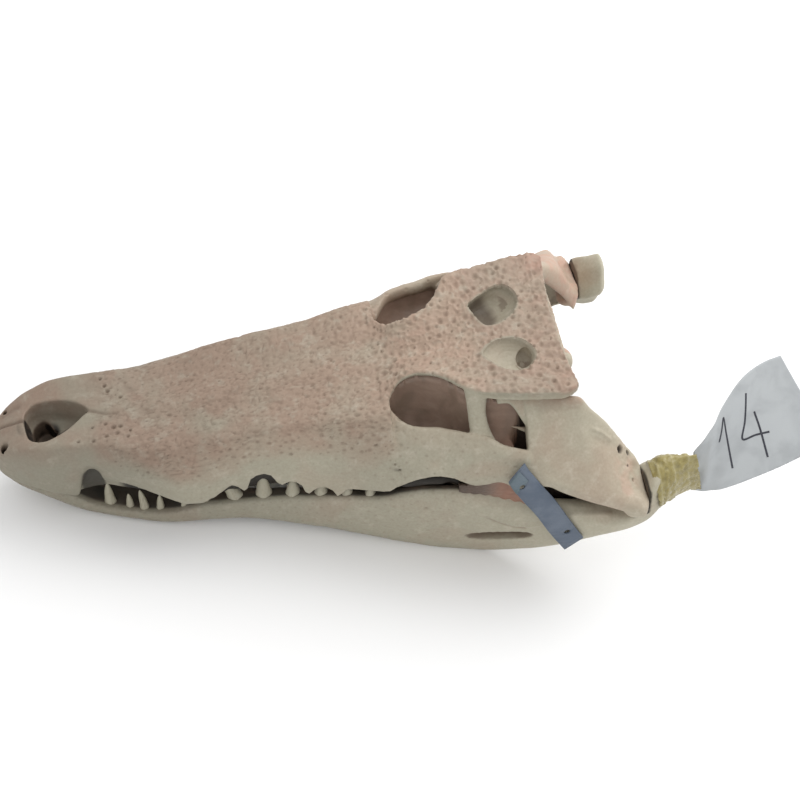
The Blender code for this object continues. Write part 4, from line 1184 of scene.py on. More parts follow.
def carve_jaw(piece, room, sign, depth):
    """Swells, pits and ridges of one side of the lower jaw, with painted black shadow where it faces
    the joint and on its top under the upper jaw, and painted shade in its slot.
    """
    relief = Relief(piece)
    co = relief.co
    x, y, z = co.T
    relief.rise += 0.35 * noise_of(co, 15.0, 5)
    relief.rise += 0.12 * noise_of(co, 5.0, 6)
    outside = ease(relief.no[:, 1] * sign, 0.2, 0.6)
    weight = outside * fade(x, 270, 330) * 0.7 * ease(z, -60, -40)
    chosen, rng = relief.scatter(weight, 6.0, 71 + sign)
    for index in chosen:
        relief.spot(co[index], rng.uniform(0.7, 1.2), 0.35 * depth, 0.4, 1.4, 0.2)
    for place in JAW_FORAMINA:
        here = (place[0], sign * abs(place[1]), place[2])
        relief.spot(here, place[3], 1.6, 1.0, 1.5, 0.2)
    for width, height, dark, points in JAW_RIDGES:
        relief.stroke([(p, sign * abs(q), r) for p, q, r in points], width, height, dark)
    relief.settle()
    # Painted black shadow on the jaw's top under the upper jaw and in the socket that faces the
    # joint
    top_y, top_z = jaw_top.columns_at(x)
    shelf = ease(top_y - np.abs(y), 1.2, 3.6) * ease(relief.no[:, 2], 0.1, 0.4)
    shelf *= ease(z - top_z, -8, -4) * fade(x, 325, 345)
    socket = np.zeros(len(co))
    for index in np.flatnonzero((x > 412) & (z > -40)):
        near = room.find_nearest(co[index])
        if near[0] is not None:
            socket[index] = 1 - float(ease(near[3], 0.9, 2.0))
    mask(piece.data, "painted_black_shadow", np.maximum(0.85 * shelf, 0.9 * socket))
    mask(piece.data, "warm", 0.12 * ease(noise_of(co, 20.0, 65), -0.2, 0.6))
    mask(piece.data, "pink", 0 * x)
    # Painted shade inside the slot of the jaw
    slit = fade(np.abs(x - 347), 24, 28) * fade(np.abs(z + 44 - (x - 347) * 0.12), 3, 6)
    slit *= fade(relief.no[:, 1] * sign, 0.55, 0.85)
    mask(piece.data, "painted_shade", slit * ease(np.abs(y), 70, 74))
    return piece


def cell(piece, name, planes):
    """The part of a closed piece behind every plane (place, normal), its cut sides filled."""
    bm = bmesh.new()
    bm.from_mesh(piece.data)
    for place, normal in planes:
        whole = bm.verts[:] + bm.edges[:] + bm.faces[:]
        made = bmesh.ops.bisect_plane(
            bm, geom=whole, dist=1e-5, plane_co=place, plane_no=normal, clear_outer=True
        )
        rims = [item for item in made["geom_cut"] if isinstance(item, bmesh.types.BMEdge)]
        if not rims:
            continue
        for edge in rims:
            edge.smooth = False
        filled = bmesh.ops.triangle_fill(
            bm, use_beauty=False, use_dissolve=False, edges=rims, normal=normal
        )
        for item in filled["geom"]:
            if isinstance(item, bmesh.types.BMFace):
                item.smooth = False
    return to_object(name, bm)


def before(x):
    """The plane that keeps what lies in front of x."""
    return (x, 0, 0), (1, 0, 0)


def behind(x):
    """The plane that keeps what lies behind x."""
    return (x, 0, 0), (-1, 0, 0)


def left_of(y):
    """The plane that keeps what lies to the left of y."""
    return (0, y, 0), (0, 1, 0)


def right_of(y):
    """The plane that keeps what lies to the right of y."""
    return (0, y, 0), (0, -1, 0)


def divide(piece):
    """The cranium's skin parted along planes into closed pieces, one for each group of bones."""
    maxilla = [behind(PREMAXILLA_END), before(SNOUT_END)]
    middle = [right_of(-CHEEK_CUT), left_of(CHEEK_CUT)]
    cells = {
        "premaxilla_bone": [before(PREMAXILLA_END)],
        "maxilla_bone_left": [*maxilla, left_of(0)],
        "maxilla_bone_right": [*maxilla, right_of(0)],
        "forehead_bone": [behind(SNOUT_END), before(FRONTAL_END), *middle],
        "skull_table_bone": [behind(FRONTAL_END), *middle],
        "cheek_bone_left": [behind(SNOUT_END), left_of(-CHEEK_CUT)],
        "cheek_bone_right": [behind(SNOUT_END), right_of(CHEEK_CUT)],
    }
    made = {name: cell(piece, name, planes) for name, planes in cells.items()}
    bpy.data.objects.remove(piece)
    return made


# Middle, radii and turn in degrees of the slot in each jaw and of the hollow inside it
JAW_WINDOW = ((346, 97, -43.6), (27.5, 17, 5.8), -7)
JAW_FOSSA = ((362, 81.5, -6), (44, 5.5, 34), 8)


def jaw_skin(label, sign, grain):
    """One side of the lower jaw, and the room that its socket leaves for the upper jaw."""
    rings = [rounded(on_side(jaw_ring(x), sign)) for x in places(5, JAW_END - 4, 1.6)]
    round_off(rings, ((0.96, 0.9), (0.88, 1.9), (0.74, 2.7), (0.5, 3.2)))
    if sign < 0:
        # The end of the left jaw is lower, as far as the tape round it shows
        for point in (point for ring in rings for point in ring):
            end = float(ease(point.x, 446, JAW_END))
            point.z -= end * (13 * float(ease(point.z, 0, 25)) - 6 * float(ease(-point.z, 0, 15)))
    piece = to_object(f"lower_jaw_bone_{label}", skin(rings))
    (x, y, z), radii, tilt = JAW_WINDOW
    turn = Matrix.Rotation(math.radians(tilt), 4, "Y")
    tools = [ball("jaw_window", (x, sign * y, z), radii, turn)]
    (x, y, z), radii, tilt = JAW_FOSSA
    turn = Matrix.Rotation(math.radians(sign * tilt), 4, "Z")
    tools.append(ball("jaw_fossa", (x, sign * y, z), radii, turn))
    cut(piece, *tools)
    rings = []
    for x in places(418, CONDYLE_END + 2, 1.8):
        rings.append(rounded(on_side(quadrate_ring(min(x, CONDYLE_END)), sign)))
        for point in rings[-1]:
            point.x += max(0.0, x - CONDYLE_END)
    bm = shifted(skin(rings), JOINT_GAP)
    room = BVHTree.FromBMesh(bm)
    cut(piece, to_object("joint_room", bm))
    return remesh(piece, grain, 8), room


TOOTH_PROFILE = (
    # Share of the way from root to tip and share of the neck's width
    (0, 0.9), (0.2, 1.12), (0.3, 1.1), (0.38, 0.95), (0.5, 0.9), (0.62, 0.8),
    (0.74, 0.66), (0.84, 0.5), (0.92, 0.34), (0.97, 0.2), (1, 0.05),
)
TOOTH_SIDES = 24
LOWER_TEETH = [
    # Place along the jaw, height over its edge, neck radius, lean forwards
    (14, 5, 2.6, 2), (26, 4, 2.2, 0), (37, 5, 2.2, 0), (76, 21, 3.7, 0), (89.5, 13, 2.7, 0),
    (100, 20, 3, 1), (111, 14, 2.8, -1), (128, 7, 2.4, 0), (144, 8, 2.6, 0),
    (167, 17, 5.2, 8), (185.8, 21, 5.4, 0), (206.2, 14.5, 4.9, 0), (226, 11.5, 4.9, 0),
    (244, 8.5, 4.6, 0), (260, 7, 4.2, 0),
]


def lower_teeth(label, sign):
    """Blunt cones that lean a little inwards, each in a low collar of bone."""
    teeth = []
    for number, (x, height, radius, lean) in enumerate(LOWER_TEETH):
        edge = jaw_top(x)
        root = Vector((x, sign * (edge.y - radius - 0.4), edge.z - 6))
        tip = Vector((x - lean, sign * (edge.y - radius - 1.6), edge.z + height))
        rows = []
        for share, width in TOOTH_PROFILE:
            centre = root.lerp(tip, share)
            centre.x += 0.5 * math.sin(number * 1.7 + share * 2) * share
            centre.y -= sign * 1.4 * share * (1 - share)
            ring = []
            for k in range(TOOTH_SIDES):
                angle = 2 * math.pi * k / TOOTH_SIDES
                fold = 1 + 0.03 * math.sin(5 * angle + number)
                ring.append(centre + Vector((
                    math.cos(angle) * radius * width * fold,
                    math.sin(angle) * radius * width * 0.86 * fold, 0,
                )))
            rows.append(ring)
        teeth.append(to_object("tooth", skin(rows)))
    piece = join(f"lower_teeth_{label}", teeth)
    piece.data.shade_smooth()
    co = coordinates(piece.data)
    edge_z = jaw_top.columns_at(co[:, 0])[1]
    mask(piece.data, "bare", ease(co[:, 2] - edge_z, 1.0, 6.0))
    return piece


def sheet(name, front, back):
    """A thin closed sheet between rows of points on its two faces."""
    rings = [a + list(reversed(b)) for a, b in zip(front, back)]
    piece = to_object(name, skin(rings))
    piece.data.shade_smooth()
    return piece


def moved(rows, step):
    """Rows of points, each moved by the step."""
    return [[point + Vector(step) for point in row] for row in rows]


# Where the dried skin of a socket ends in a ragged edge, and the middle of the eye socket
LINING_END = 356.0
SOCKET_MIDDLE = 304
SOCKET_HALF = 44


def ragged_end(share, wave):
    """Where the skin ends at a share of the way out, given the wave of that share."""
    return LINING_END + 5 * (1 - share) + 1.6 * wave


def lining(label, sign):
    """The dried brown skin that sags like a hammock in an eye socket and the opening behind it."""
    front = []
    for x in places(268, 374, 1.6):
        in_socket = x < FRONTAL_END
        high = brow(x) if in_socket else table_edge(x)
        start = Vector((x, high.y - 0.4, high.z - (2.4 if in_socket else 3.0)))
        if x > FRONTAL_END:
            start.y -= 3.0
        rim = jugal_ring(x, sign > 0)[0]
        end = Vector((x, rim.y - 1.2, rim.z - 2.2))
        bowl = math.sqrt(max(0.03, 1 - ((x - SOCKET_MIDDLE) / SOCKET_HALF) ** 2))
        deep = max(29 * bowl if in_socket else 0, 17.0 if x > 322 else 0)
        upper = []
        for share in places(0, 1, 1 / 40):
            ragged = ragged_end(share, math.sin(share * 11))
            drop = 17 * float(ease(x, ragged, ragged + 2))
            sag = (4 * share * (1 - share)) ** 0.55 * (deep + drop)
            ripple = 0.35 * math.sin(x * 0.21 + share * 8) + 0.2 * math.sin(x * 0.63 - share * 12)
            point = start.lerp(end, share) + Vector((0, 0, ripple - sag))
            upper.append(Vector((point.x, sign * point.y, point.z)))
        front.append(upper)
    piece = sheet(f"socket_skin_{label}", front, moved(front, (0, 0, -1.3)))
    x, y, z = coordinates(piece.data).T
    low = ease(x, 344, 356) * fade(z, 30, 44)
    mask(piece.data, "pink", np.clip(0.15 * ease(x, 336, 346) + 0.75 * low, 0, 1))
    share = np.clip((np.abs(y) - 56) / 26, 0, 1)
    # Painted black shadow where the skin drops deep past its ragged end
    mask(piece.data, "deep", ease(x - ragged_end(share, np.sin(share * 11)), 0.2, 1.6))
    return piece


def shadow_curtain(label, sign):
    """A sheet painted nearly black as shadow, hanging inside the cheek between the upper and the
    lower jaw.
    """
    front = []
    for x in places(266, 420 if sign < 0 else 384, 2.5):
        lip = margin(x)
        start = Vector((x, lip.y - 15, lip.z + 9))
        end = Vector((x, jaw_inside(x).y + 3.0, jaw_top(x).z - 14))
        row = []
        for share in places(0, 1, 1 / 14):
            point = start.lerp(end, share)
            fold = math.sin(x * 0.17 + share * 5)
            row.append(Vector((point.x, sign * (point.y + fold), point.z)))
        front.append(row)
    piece = sheet(f"shadow_sheet_{label}", front, moved(front, (0, -sign * 1.4, 0)))
    mask(piece.data, "pink", np.zeros(len(piece.data.vertices)))
    # The whole sheet is painted as shadow
    mask(piece.data, "deep", np.ones(len(piece.data.vertices)))
    return piece


def tissue_tongue():
    """The strip of dried muscle between the left cheek and the lower jaw."""
    upper = line([(319, 84.5, 13), (330, 87, 15), (340, 89, 20), (350, 91, 22), (366, 95, 20)])
    lower = line([(319, 85.5, 7), (330, 88.5, 6.5), (342, 90, 3), (354, 91.5, -2), (366, 93.5, -9)])
    front = []
    for x in places(319, 366, 1.2):
        row = []
        for share in places(0, 1, 1 / 16):
            point = upper(x).lerp(lower(x), share)
            swell = 1.8 * math.sin(math.pi * share) + 0.4 * math.sin(x * 0.9 + share * 7)
            swell += 0.25 * math.sin(share * 31 + x * 0.2)
            row.append(Vector((point.x, -(point.y - 1.5 + swell), point.z)))
        front.append(row)
    piece = sheet("cheek_tissue", front, moved(front, (0, 3.4, 0)))
    x = coordinates(piece.data)[:, 0]
    mask(piece.data, "pink", 1.1 * ease(x, 335, 352))
    # Darker towards the front
    mask(piece.data, "deep", 0.62 - 0.5 * ease(x, 328, 348))
    return piece


STRIP_WIDTH = 17.0
STRIP_THICKNESS = 1.4
STRIP_PATH = (
    # Middle of the strip from the cheek down to the jaw, and the direction across it
    (355, 93.7, 36.5, 11, -5.5, 12), (358.3, 95.2, 30, 11, -5.5, 12),
    (366.6, 98.9, 17.5, 11.8, -4.5, 11.4), (377, 102.2, 2, 12.8, -3, 10.8),
    (388.5, 105.6, -19, 13.8, -1.4, 10), (400.5, 107.2, -40.5, 12.9, -0.4, 12.6),
)
FLAP_ROWS = 9
FLAP_THICKNESS = 0.9
HOLE_RADIUS = 2.2
HOLE_DEPTH = 12
# Row of the strip and shift across it of each punched hole
STRIP_HOLES = ((8, -2.5), (-5, 2.0))


def smooth_rows(rows, count):
    """Rows of numbers with count - 1 more eased in between each two."""
    table = np.array(rows, float)
    place = np.arange(len(table))
    fine = np.linspace(0, len(table) - 1, (len(table) - 1) * count + 1)
    columns = []
    for values in table.T:
        slope = np.gradient(values)
        i = np.minimum(fine.astype(int), len(table) - 2)
        t = fine - place[i]
        columns.append(cubic(t, values[i], slope[i], values[i + 1], slope[i + 1]))
    return np.stack(columns, 1)


def band(name, rows, lift, thickness, widths):
    """A band with eased edges along rows of x, y, z and the way across, on the left cheek."""
    centres = [Vector((x, -y, z)) for x, y, z, _, _, _ in rows]
    rings = []
    frames = []
    for i, centre in enumerate(centres):
        ahead = centres[min(i + 1, len(centres) - 1)] - centres[max(i - 1, 0)]
        ahead.normalize()
        wide = Vector((rows[i][3], -rows[i][4], rows[i][5])).normalized()
        out = ahead.cross(wide).normalized()
        if out.y > 0:
            out = -out
        low_edge, high_edge = (share * STRIP_WIDTH / 2 for share in widths[i])
        ring = []
        for edge, way in ((high_edge, 1), (low_edge, -1)):
            for share in (0.0, 0.5, 1.0):
                angle = share * math.pi
                level = 0.5 * thickness * (1 - math.cos(angle) * way)
                bulge = 0.3 * thickness * math.sin(angle)
                ring.append(centre + wide * (edge + way * bulge) + out * (lift + level))
            for share in (0.33, 0.67):
                mid = edge + ((low_edge if way > 0 else high_edge) - edge) * share
                ring.append(centre + wide * mid + out * (lift + (thickness if way > 0 else 0)))
        rings.append(ring)
        frames.append((centre, out, wide))
    return to_object(name, skin(rings)), frames


def peg(frame, aside):
    """The cutter of a punched hole, to the side of a band's middle."""
    centre, out, wide = frame
    bm = bmesh.new()
    bmesh.ops.create_cone(
        bm, cap_ends=True, segments=32, radius1=HOLE_RADIUS, radius2=HOLE_RADIUS, depth=HOLE_DEPTH
    )
    turn = out.to_track_quat("Z", "Y").to_matrix().to_4x4()
    move = Matrix.Translation(centre + wide * aside) @ turn
    bmesh.ops.transform(bm, matrix=move, verts=bm.verts)
    return to_object("hole", bm)


def strip():
    """The plastic strip with a punched hole near each end and its upper end folded over."""
    rows = smooth_rows(STRIP_PATH, 6)
    piece, frames = band("jaw_strip_band", rows, 0.0, STRIP_THICKNESS, [(-1, 1)] * len(rows))
    cut(piece, *(peg(frames[row], aside) for row, aside in STRIP_HOLES))
    widths = [(-1.03, 0.25 + 0.2 * number / FLAP_ROWS) for number in range(FLAP_ROWS)]
    lift = STRIP_THICKNESS + 0.15
    flap, frames = band("jaw_strip_fold", rows[:FLAP_ROWS], lift, FLAP_THICKNESS, widths)
    row, aside = STRIP_HOLES[0]
    cut(flap, peg(frames[row], aside))
    for made in (piece, flap):
        made.data.shade_smooth()
    return piece, flap


TAPE_SECTIONS = (
    # x, y, z of the middle, half-width across, half-height
    (459, -94, 2, 17, 16.5), (466, -92, 4, 15, 19.5), (473, -90, 4, 12, 20.5),
    (484, -88, 3, 7, 21), (494, -88, 1, 4, 22),
)
TAPE_LEAN = -0.25
TAPE_SIDES = 96
TAPE_TURN = 12


def tape():
    """Film tape wound round the jaw's end, creased and with the steps of its turns."""
    rings = []
    for x, y, z, half_width, half_height in smooth_rows(TAPE_SECTIONS, 9):
        ring = []
        for k in range(TAPE_SIDES):
            angle = 2 * math.pi * k / TAPE_SIDES
            high = half_height * math.sin(angle)
            lean = TAPE_LEAN * high - 3.0
            ring.append(Vector((x + lean, y + half_width * math.cos(angle), z + high)))
        rings.append(ring)
    piece = to_object("tape_wrap", skin(rings))
    mesh = piece.data
    mesh.shade_smooth()
    co = coordinates(mesh)
    no = normals(mesh)
    inside = (no[:, 0] ** 2 < 0.6).astype(float)
    crease = np.abs(noise_of(co * np.array([1.6, 0.6, 0.6]), 5.0, 81))
    fine = np.abs(noise_of(co * np.array([2.2, 0.8, 0.8]), 2.6, 82))
    turn = np.arctan2(co[:, 2] - 2, -(co[:, 1] + 90)) / (2 * math.pi)
    step = ((co[:, 0] - TAPE_SECTIONS[0][0]) / TAPE_TURN + turn) % 1.0
    rise = -1.1 * ease(0.35 - crease, 0, 0.35) - 0.45 * ease(0.3 - fine, 0, 0.3) + 0.5 * step
    place_vertices(mesh, co + no * (rise * inside)[:, None])
    mask(mesh, "edge", np.maximum(ease(step, 0.82, 0.97), 0.5 * ease(0.3 - crease, 0, 0.3)))
    return piece


TAG_SECTIONS = (
    ((489, -90, -19), (485, -85, 21)), ((502, -92, -19), (497.5, -76, 33)),
    ((521, -92, -15), (511, -60, 41)), ((545, -89, -8), (527.5, -43.5, 46)),
    ((568, -85, 0), (545, -34, 48.5)), ((591, -80, 8.5), (560, -29, 48.5)),
)
TAG_ROWS = [(*low, *high) for low, high in TAG_SECTIONS]
TAG_THICKNESS = 0.4
TAG_SAG = 2.4
INK_HALF_WIDTH = 0.75
INK_HEIGHT = 0.16
NUMBER_STROKES = (
    # Places along the tag and up it: a plain handwritten figure
    ((1.55, 0.62), (1.72, 0.74), (1.86, 0.86), (1.93, 0.6), (1.96, 0.4), (1.98, 0.2)),
    ((3, 0.84), (2.72, 0.6), (2.5, 0.44), (2.95, 0.4), (3.4, 0.36)),
    ((3.12, 0.62), (3.14, 0.42), (3.1, 0.14)),
)


def tag_place(along, up, lift=0.0):
    """A point on the tag's face towards the viewer, and the way it faces."""
    def bare(s, v):
        """The place itself, on the sheet with its waves and its curl."""
        row = np.clip(s, 0, len(TAG_ROWS) - 1)
        i = int(min(row, len(TAG_ROWS) - 2))
        t = row - i
        table = np.array(TAG_ROWS)
        slope = np.gradient(table, axis=0)
        both = cubic(t, table[i], slope[i], table[i + 1], slope[i + 1])
        low = Vector(both[:3])
        high = Vector(both[3:])
        out = (high - low).cross(Vector((1, 0, 0))).normalized()
        wave = 0.35 * math.sin(s * 3.1 + v * 2.0) * min(1.0, s)
        pleat = 0.7 * math.sin(v * 19 + 1.3) * max(0.0, 1 - s / 1.3)
        curl = 0.5 * math.sin(s * 7.3 - v * 5.1) * max(0.0, 1 - abs(s - 1.0))
        return low.lerp(high, v) + out * (TAG_SAG * math.sin(math.pi * v) + wave + pleat + curl)
    point = bare(along, up)
    step = 0.02
    facing = (bare(along + step, up) - bare(along - step, up)).cross(
        bare(along, up + step) - bare(along, up - step)
    ).normalized()
    if facing.y > 0:
        facing = -facing
    return point + facing * lift, facing


def tag():
    """The paper tag, a thin curled sheet."""
    front = []
    back = []
    for along in places(0, len(TAG_ROWS) - 1, 0.05):
        row = [tag_place(along, up)[0] for up in places(0, 1, 1 / 48)]
        front.append(row)
        back.append([tag_place(along, up, -TAG_THICKNESS)[0] for up in places(0, 1, 1 / 48)])
    return sheet("paper_tag_sheet", front, back)


def tag_number():
    """The figure on the tag, a thin raised line of ink."""
    strokes = []
    for stroke in NUMBER_STROKES:
        path = smooth_rows(stroke, 8)
        rings = []
        for i, (along, up) in enumerate(path):
            here, facing = tag_place(along, up, 0.05)
            later = tag_place(*path[min(i + 1, len(path) - 1)])[0]
            earlier = tag_place(*path[max(i - 1, 0)])[0]
            across = (later - earlier).cross(facing).normalized() * INK_HALF_WIDTH
            height = facing * INK_HEIGHT
            rings.append([
                here - across, here + across, here + across * 0.8 + height,
                here - across * 0.8 + height,
            ])
        strokes.append(to_object("stroke", skin(rings)))
    return join("tag_number", strokes)


# How far a ray starts off the bone and how far it looks for another bone, in metres
RAY_START = 0.0004
RAY_REACH = 0.08

# Place along the skull and how light its bone is painted there: painted shade at the tip of the
# snout, painted light towards the rear
PAINTED_LIGHT_ALONG = [(0, 0.66), (60, 0.68), (180, 0.79), (270, 0.92), (350, 1.0), (430, 1.12)]


def openness(piece, tree, dome, rng):
    """The share of rays that get away from each place, found at some and blended between them."""
    co = coordinates(piece.data)
    no = normals(piece.data)
    usable = np.ones(len(co), bool)
    for polygon in piece.data.polygons:
        if not polygon.use_smooth:
            usable[list(polygon.vertices)] = False
    picked = rng.permutation(np.flatnonzero(usable))[: max(400, len(co) // 9)]
    known = KDTree(len(picked))
    found = np.zeros(len(picked))
    for number, index in enumerate(picked):
        known.insert(co[index], number)
        normal = no[index]
        side_way = np.cross(normal, (0.3, 0.9, 0.1))
        side_way /= np.linalg.norm(side_way) + 1e-9
        ways = dome @ np.stack([side_way, np.cross(normal, side_way), normal])
        start = co[index] + normal * RAY_START
        clear = sum(tree.ray_cast(start, way, RAY_REACH)[0] is None for way in ways)
        found[number] = clear / len(dome)
    known.balance()
    values = np.zeros(len(co))
    picked_no = no[picked]
    for index, place in enumerate(co):
        total = 0.0
        weight = 0.0
        for _, number, gap in known.find_n(place, 4):
            share = 1 / (gap + 0.0005) * max(0.05, float(no[index] @ picked_no[number]))
            total += share * found[number]
            weight += share
        values[index] = total / weight
    return values


def weather(pieces, rays):
    """Keeps on each bone its painted light and shade along the skull, and how open it is from rays
    sent out over the whole skull, which sets the painted shade in its hollows.
    """
    verts = []
    faces = []
    for piece in pieces:
        base = len(verts)
        verts += [v.co[:] for v in piece.data.vertices]
        for polygon in piece.data.polygons:
            faces.append([base + v for v in polygon.vertices])
    tree = BVHTree.FromPolygons(verts, faces)
    rng = np.random.default_rng(5)
    heights = np.sqrt(rng.random(rays))
    turns = rng.random(rays) * 2 * math.pi
    flat = np.sqrt(1 - heights**2)
    dome = np.stack([flat * np.cos(turns), flat * np.sin(turns), heights], 1)
    turned = np.array(MODEL_TO_SKULL)
    for piece in pieces:
        values = openness(piece, tree, dome, rng)
        co = coordinates(piece.data)
        x, y, up = (co @ turned[:3, :3].T + turned[:3, 3]).T
        painted_light = np.interp((co[:, 0] - SKULL_ORIGIN[0]) / MM, *np.array(PAINTED_LIGHT_ALONG).T)
        # Painted shade on the top of the skull table
        painted_light *= 1 - 0.16 * ease(up, 72, 76) * ease(x, 328, 352)
        # Painted light on the sides of the upper jaw's middle
        if piece.name.startswith("maxilla"):
            middle = ease(x, 92, 140) * fade(x, 205, 268)
            painted_light *= 1 + 0.2 * middle * fade(normals(piece.data)[:, 2], 0.35, 0.85)
        mask(piece.data, "painted_light", painted_light)
        # The wide openings let in more light than so few rays find
        inside = within_upper_rim(x, y)
        values = np.maximum(values, 0.26 * inside * ease(up, 56, 60))
        bowl = disc(x, y, *NARIS_BOWL, 0.95, 1.05)
        values = np.maximum(values, 0.33 * bowl * ease(up, 17, 20))
        mask(piece.data, "open", values)


def link(tree, source, target):
    """Feeds a socket from another, or sets its own value."""
    if isinstance(source, bpy.types.NodeSocket):
        tree.links.new(source, target)
    else:
        target.default_value = source


def add_node(tree, kind, inputs=None, **settings):
    """A new node with its settings, and its inputs fed or set."""
    made = tree.nodes.new(kind)
    for key, value in settings.items():
        setattr(made, key, value)
    for key, source in (inputs or {}).items():
        link(tree, source, made.inputs[key])
    return made


def blend_colour(tree, share, one, two, mode="MIX"):
    """Two colours mixed by a share."""
    made = add_node(tree, "ShaderNodeMix", data_type="RGBA", blend_type=mode)
    link(tree, share, made.inputs[0])
    link(tree, one, made.inputs[6])
    link(tree, two, made.inputs[7])
    return made.outputs[2]


def layered(tree, colour, *layers):
    """The colour with others laid over it in turn, each by its own share."""
    for share, over in layers:
        colour = blend_colour(tree, share, colour, over)
    return colour


def reckon(tree, operation, one, two=0.0):
    """One step of arithmetic."""
    made = add_node(tree, "ShaderNodeMath", operation=operation)
    link(tree, one, made.inputs[0])
    link(tree, two, made.inputs[1])
    return made.outputs[0]


def spread(tree, value, low, high, to_low=0.0, to_high=1.0):
    """A smooth step of the value between low and high, brought to two other numbers."""
    made = add_node(tree, "ShaderNodeMapRange", interpolation_type="SMOOTHSTEP")
    link(tree, value, made.inputs[0])
    for index, number in enumerate((low, high, to_low, to_high), 1):
        made.inputs[index].default_value = number
    return made.outputs[0]


def grain(tree, where, scale, detail=3.0, rough=0.55, twist=0.0):
    """A noise texture at the coordinates."""
    inputs = {"Vector": where, "Scale": scale, "Detail": detail, "Roughness": rough}
    return add_node(tree, "ShaderNodeTexNoise", {**inputs, "Distortion": twist}).outputs[0]


def drawn_out(tree, where, scale, turn=(0, 0, 0)):
    """Coordinates for a pattern that runs along the axis with the smallest scale."""
    inputs = {"Vector": where, "Rotation": turn, "Scale": scale}
    return add_node(tree, "ShaderNodeMapping", inputs).outputs[0]


def masked(tree, name, share=None):
    """A mask of the mesh by its name, or a share of it."""
    fac = add_node(tree, "ShaderNodeAttribute", attribute_name=name).outputs["Fac"]
    return fac if share is None else reckon(tree, "MULTIPLY", fac, share)


def new_group(name, inputs, outputs):
    """A shader node group with named sockets; a colour's default has four numbers."""
    tree = bpy.data.node_groups.new(name, "ShaderNodeTree")
    for label, value in inputs.items():
        if isinstance(value, tuple):
            kind = "NodeSocketColor" if len(value) == 4 else "NodeSocketVector"
        else:
            kind = "NodeSocketFloat"
        socket = tree.interface.new_socket(label, in_out="INPUT", socket_type=kind)
        socket.default_value = value
    for label, kind in outputs.items():
        tree.interface.new_socket(label, in_out="OUTPUT", socket_type=kind)
    return tree, tree.nodes.new("NodeGroupInput"), tree.nodes.new("NodeGroupOutput")


BONE_COLOURS = ("Warm", "Cool", "Pale", "Pit", "Pink", "Hollow")
# The colour of the painted black shadow, and the default of every colour socket
DARK_BROWN = (0.01, 0.007, 0.005, 1.0)


def bone_group():
    """Colour, roughness and height of dry bone from its masks and the object's coordinates, with its
    painted light and shade.
    """
    old = bpy.data.node_groups.get("dry_bone")
    if old:
        return old
    tree, given, out = new_group(
        "dry_bone",
        {
            "Vector": (0.0, 0.0, 0.0),
            **{f"{name} colour": DARK_BROWN for name in (*BONE_COLOURS, "Dark")},
        },
        {"Color": "NodeSocketColor", "Roughness": "NodeSocketFloat", "Height": "NodeSocketFloat"},
    )
    sockets = given.outputs
    where = sockets["Vector"]
    broad = grain(tree, where, 26.0, 3.0, 0.5, 0.6)
    middle = grain(tree, where, 120.0, 4.0, 0.6, 0.3)
    small = grain(tree, where, 520.0, 3.0, 0.6)
    dust = grain(tree, where, 1500.0, 2.0, 0.6)
    warmth = reckon(tree, "ADD", masked(tree, "warm"), spread(tree, broad, 0.35, 0.7, -0.22, 0.22))
    colour = layered(
        tree, sockets["Cool colour"],
        (add_node(tree, "ShaderNodeClamp", {"Value": warmth}).outputs[0], sockets["Warm colour"]),
        (spread(tree, middle, 0.48, 0.75, 0, 0.5), sockets["Pale colour"]),
        (spread(tree, small, 0.3, 0.7, 0.16, 0), sockets["Pit colour"]),
        (masked(tree, "pink", spread(tree, middle, 0.3, 0.6, 0.3, 0.8)), sockets["Pink colour"]),
        (masked(tree, "pit", spread(tree, small, 0.3, 0.7, 0.55, 0.85)), sockets["Pit colour"]),
        # Painted shade in the hollows
        (masked(tree, "painted_shade", 0.75), sockets["Hollow colour"]),
        # Painted black shadow
        (masked(tree, "painted_black_shadow"), sockets["Dark colour"]),
    )
    # The colour is multiplied by the painted light and shade along the skull
    colour = blend_colour(tree, 1.0, colour, masked(tree, "painted_light"), "MULTIPLY")
    # Painted shade: the less open a place is, the browner and then the darker it is painted
    shelter = masked(tree, "open")
    colour = layered(
        tree, colour,
        (spread(tree, shelter, 0.1, 0.46, 0.92, 0), sockets["Hollow colour"]),
        (spread(tree, shelter, 0.02, 0.16, 1, 0), sockets["Dark colour"]),
    )
    tree.links.new(colour, out.inputs["Color"])
    rough = spread(tree, middle, 0.3, 0.7, 0.5, 0.72)
    tree.links.new(rough, out.inputs["Roughness"])
    height = reckon(tree, "MULTIPLY", small, 0.35)
    height = reckon(tree, "ADD", height, reckon(tree, "MULTIPLY", dust, 0.12))
    height = reckon(tree, "ADD", height, reckon(tree, "MULTIPLY", middle, 0.5))
    tree.links.new(height, out.inputs["Height"])
    return tree


def new_material(name):
    """A material, its nodes and its shader, and the coordinates of the object."""
    made = bpy.data.materials.new(name)
    made.use_nodes = True
    tree = made.node_tree
    shader = tree.nodes["Principled BSDF"]
    where = tree.nodes.new("ShaderNodeTexCoord").outputs["Object"]
    return made, tree, shader, where


def surface(tree, shader, colour, rough, height, distance, strength):
    """Feeds a shader its colour, its roughness and the bump of a height."""
    tree.links.new(colour, shader.inputs["Base Color"])
    tree.links.new(rough, shader.inputs["Roughness"])
    inputs = {"Height": height, "Distance": distance, "Strength": strength}
    made = add_node(tree, "ShaderNodeBump", inputs)
    tree.links.new(made.outputs[0], shader.inputs["Normal"])


def bone_material(name, looks):
    """Dry bone, built once for each name."""
    old = bpy.data.materials.get(name)
    if old:
        return old
    made, tree, shader, where = new_material(name)
    group = tree.nodes.new("ShaderNodeGroup")
    group.node_tree = bone_group()
    tree.links.new(where, group.inputs["Vector"])
    for label in BONE_COLOURS:
        group.inputs[f"{label} colour"].default_value = getattr(looks, label.lower())
    given = group.outputs
    surface(tree, shader, given["Color"], given["Roughness"], given["Height"], 0.0003, 0.6)
    shader.inputs["Specular IOR Level"].default_value = 0.35
    return made


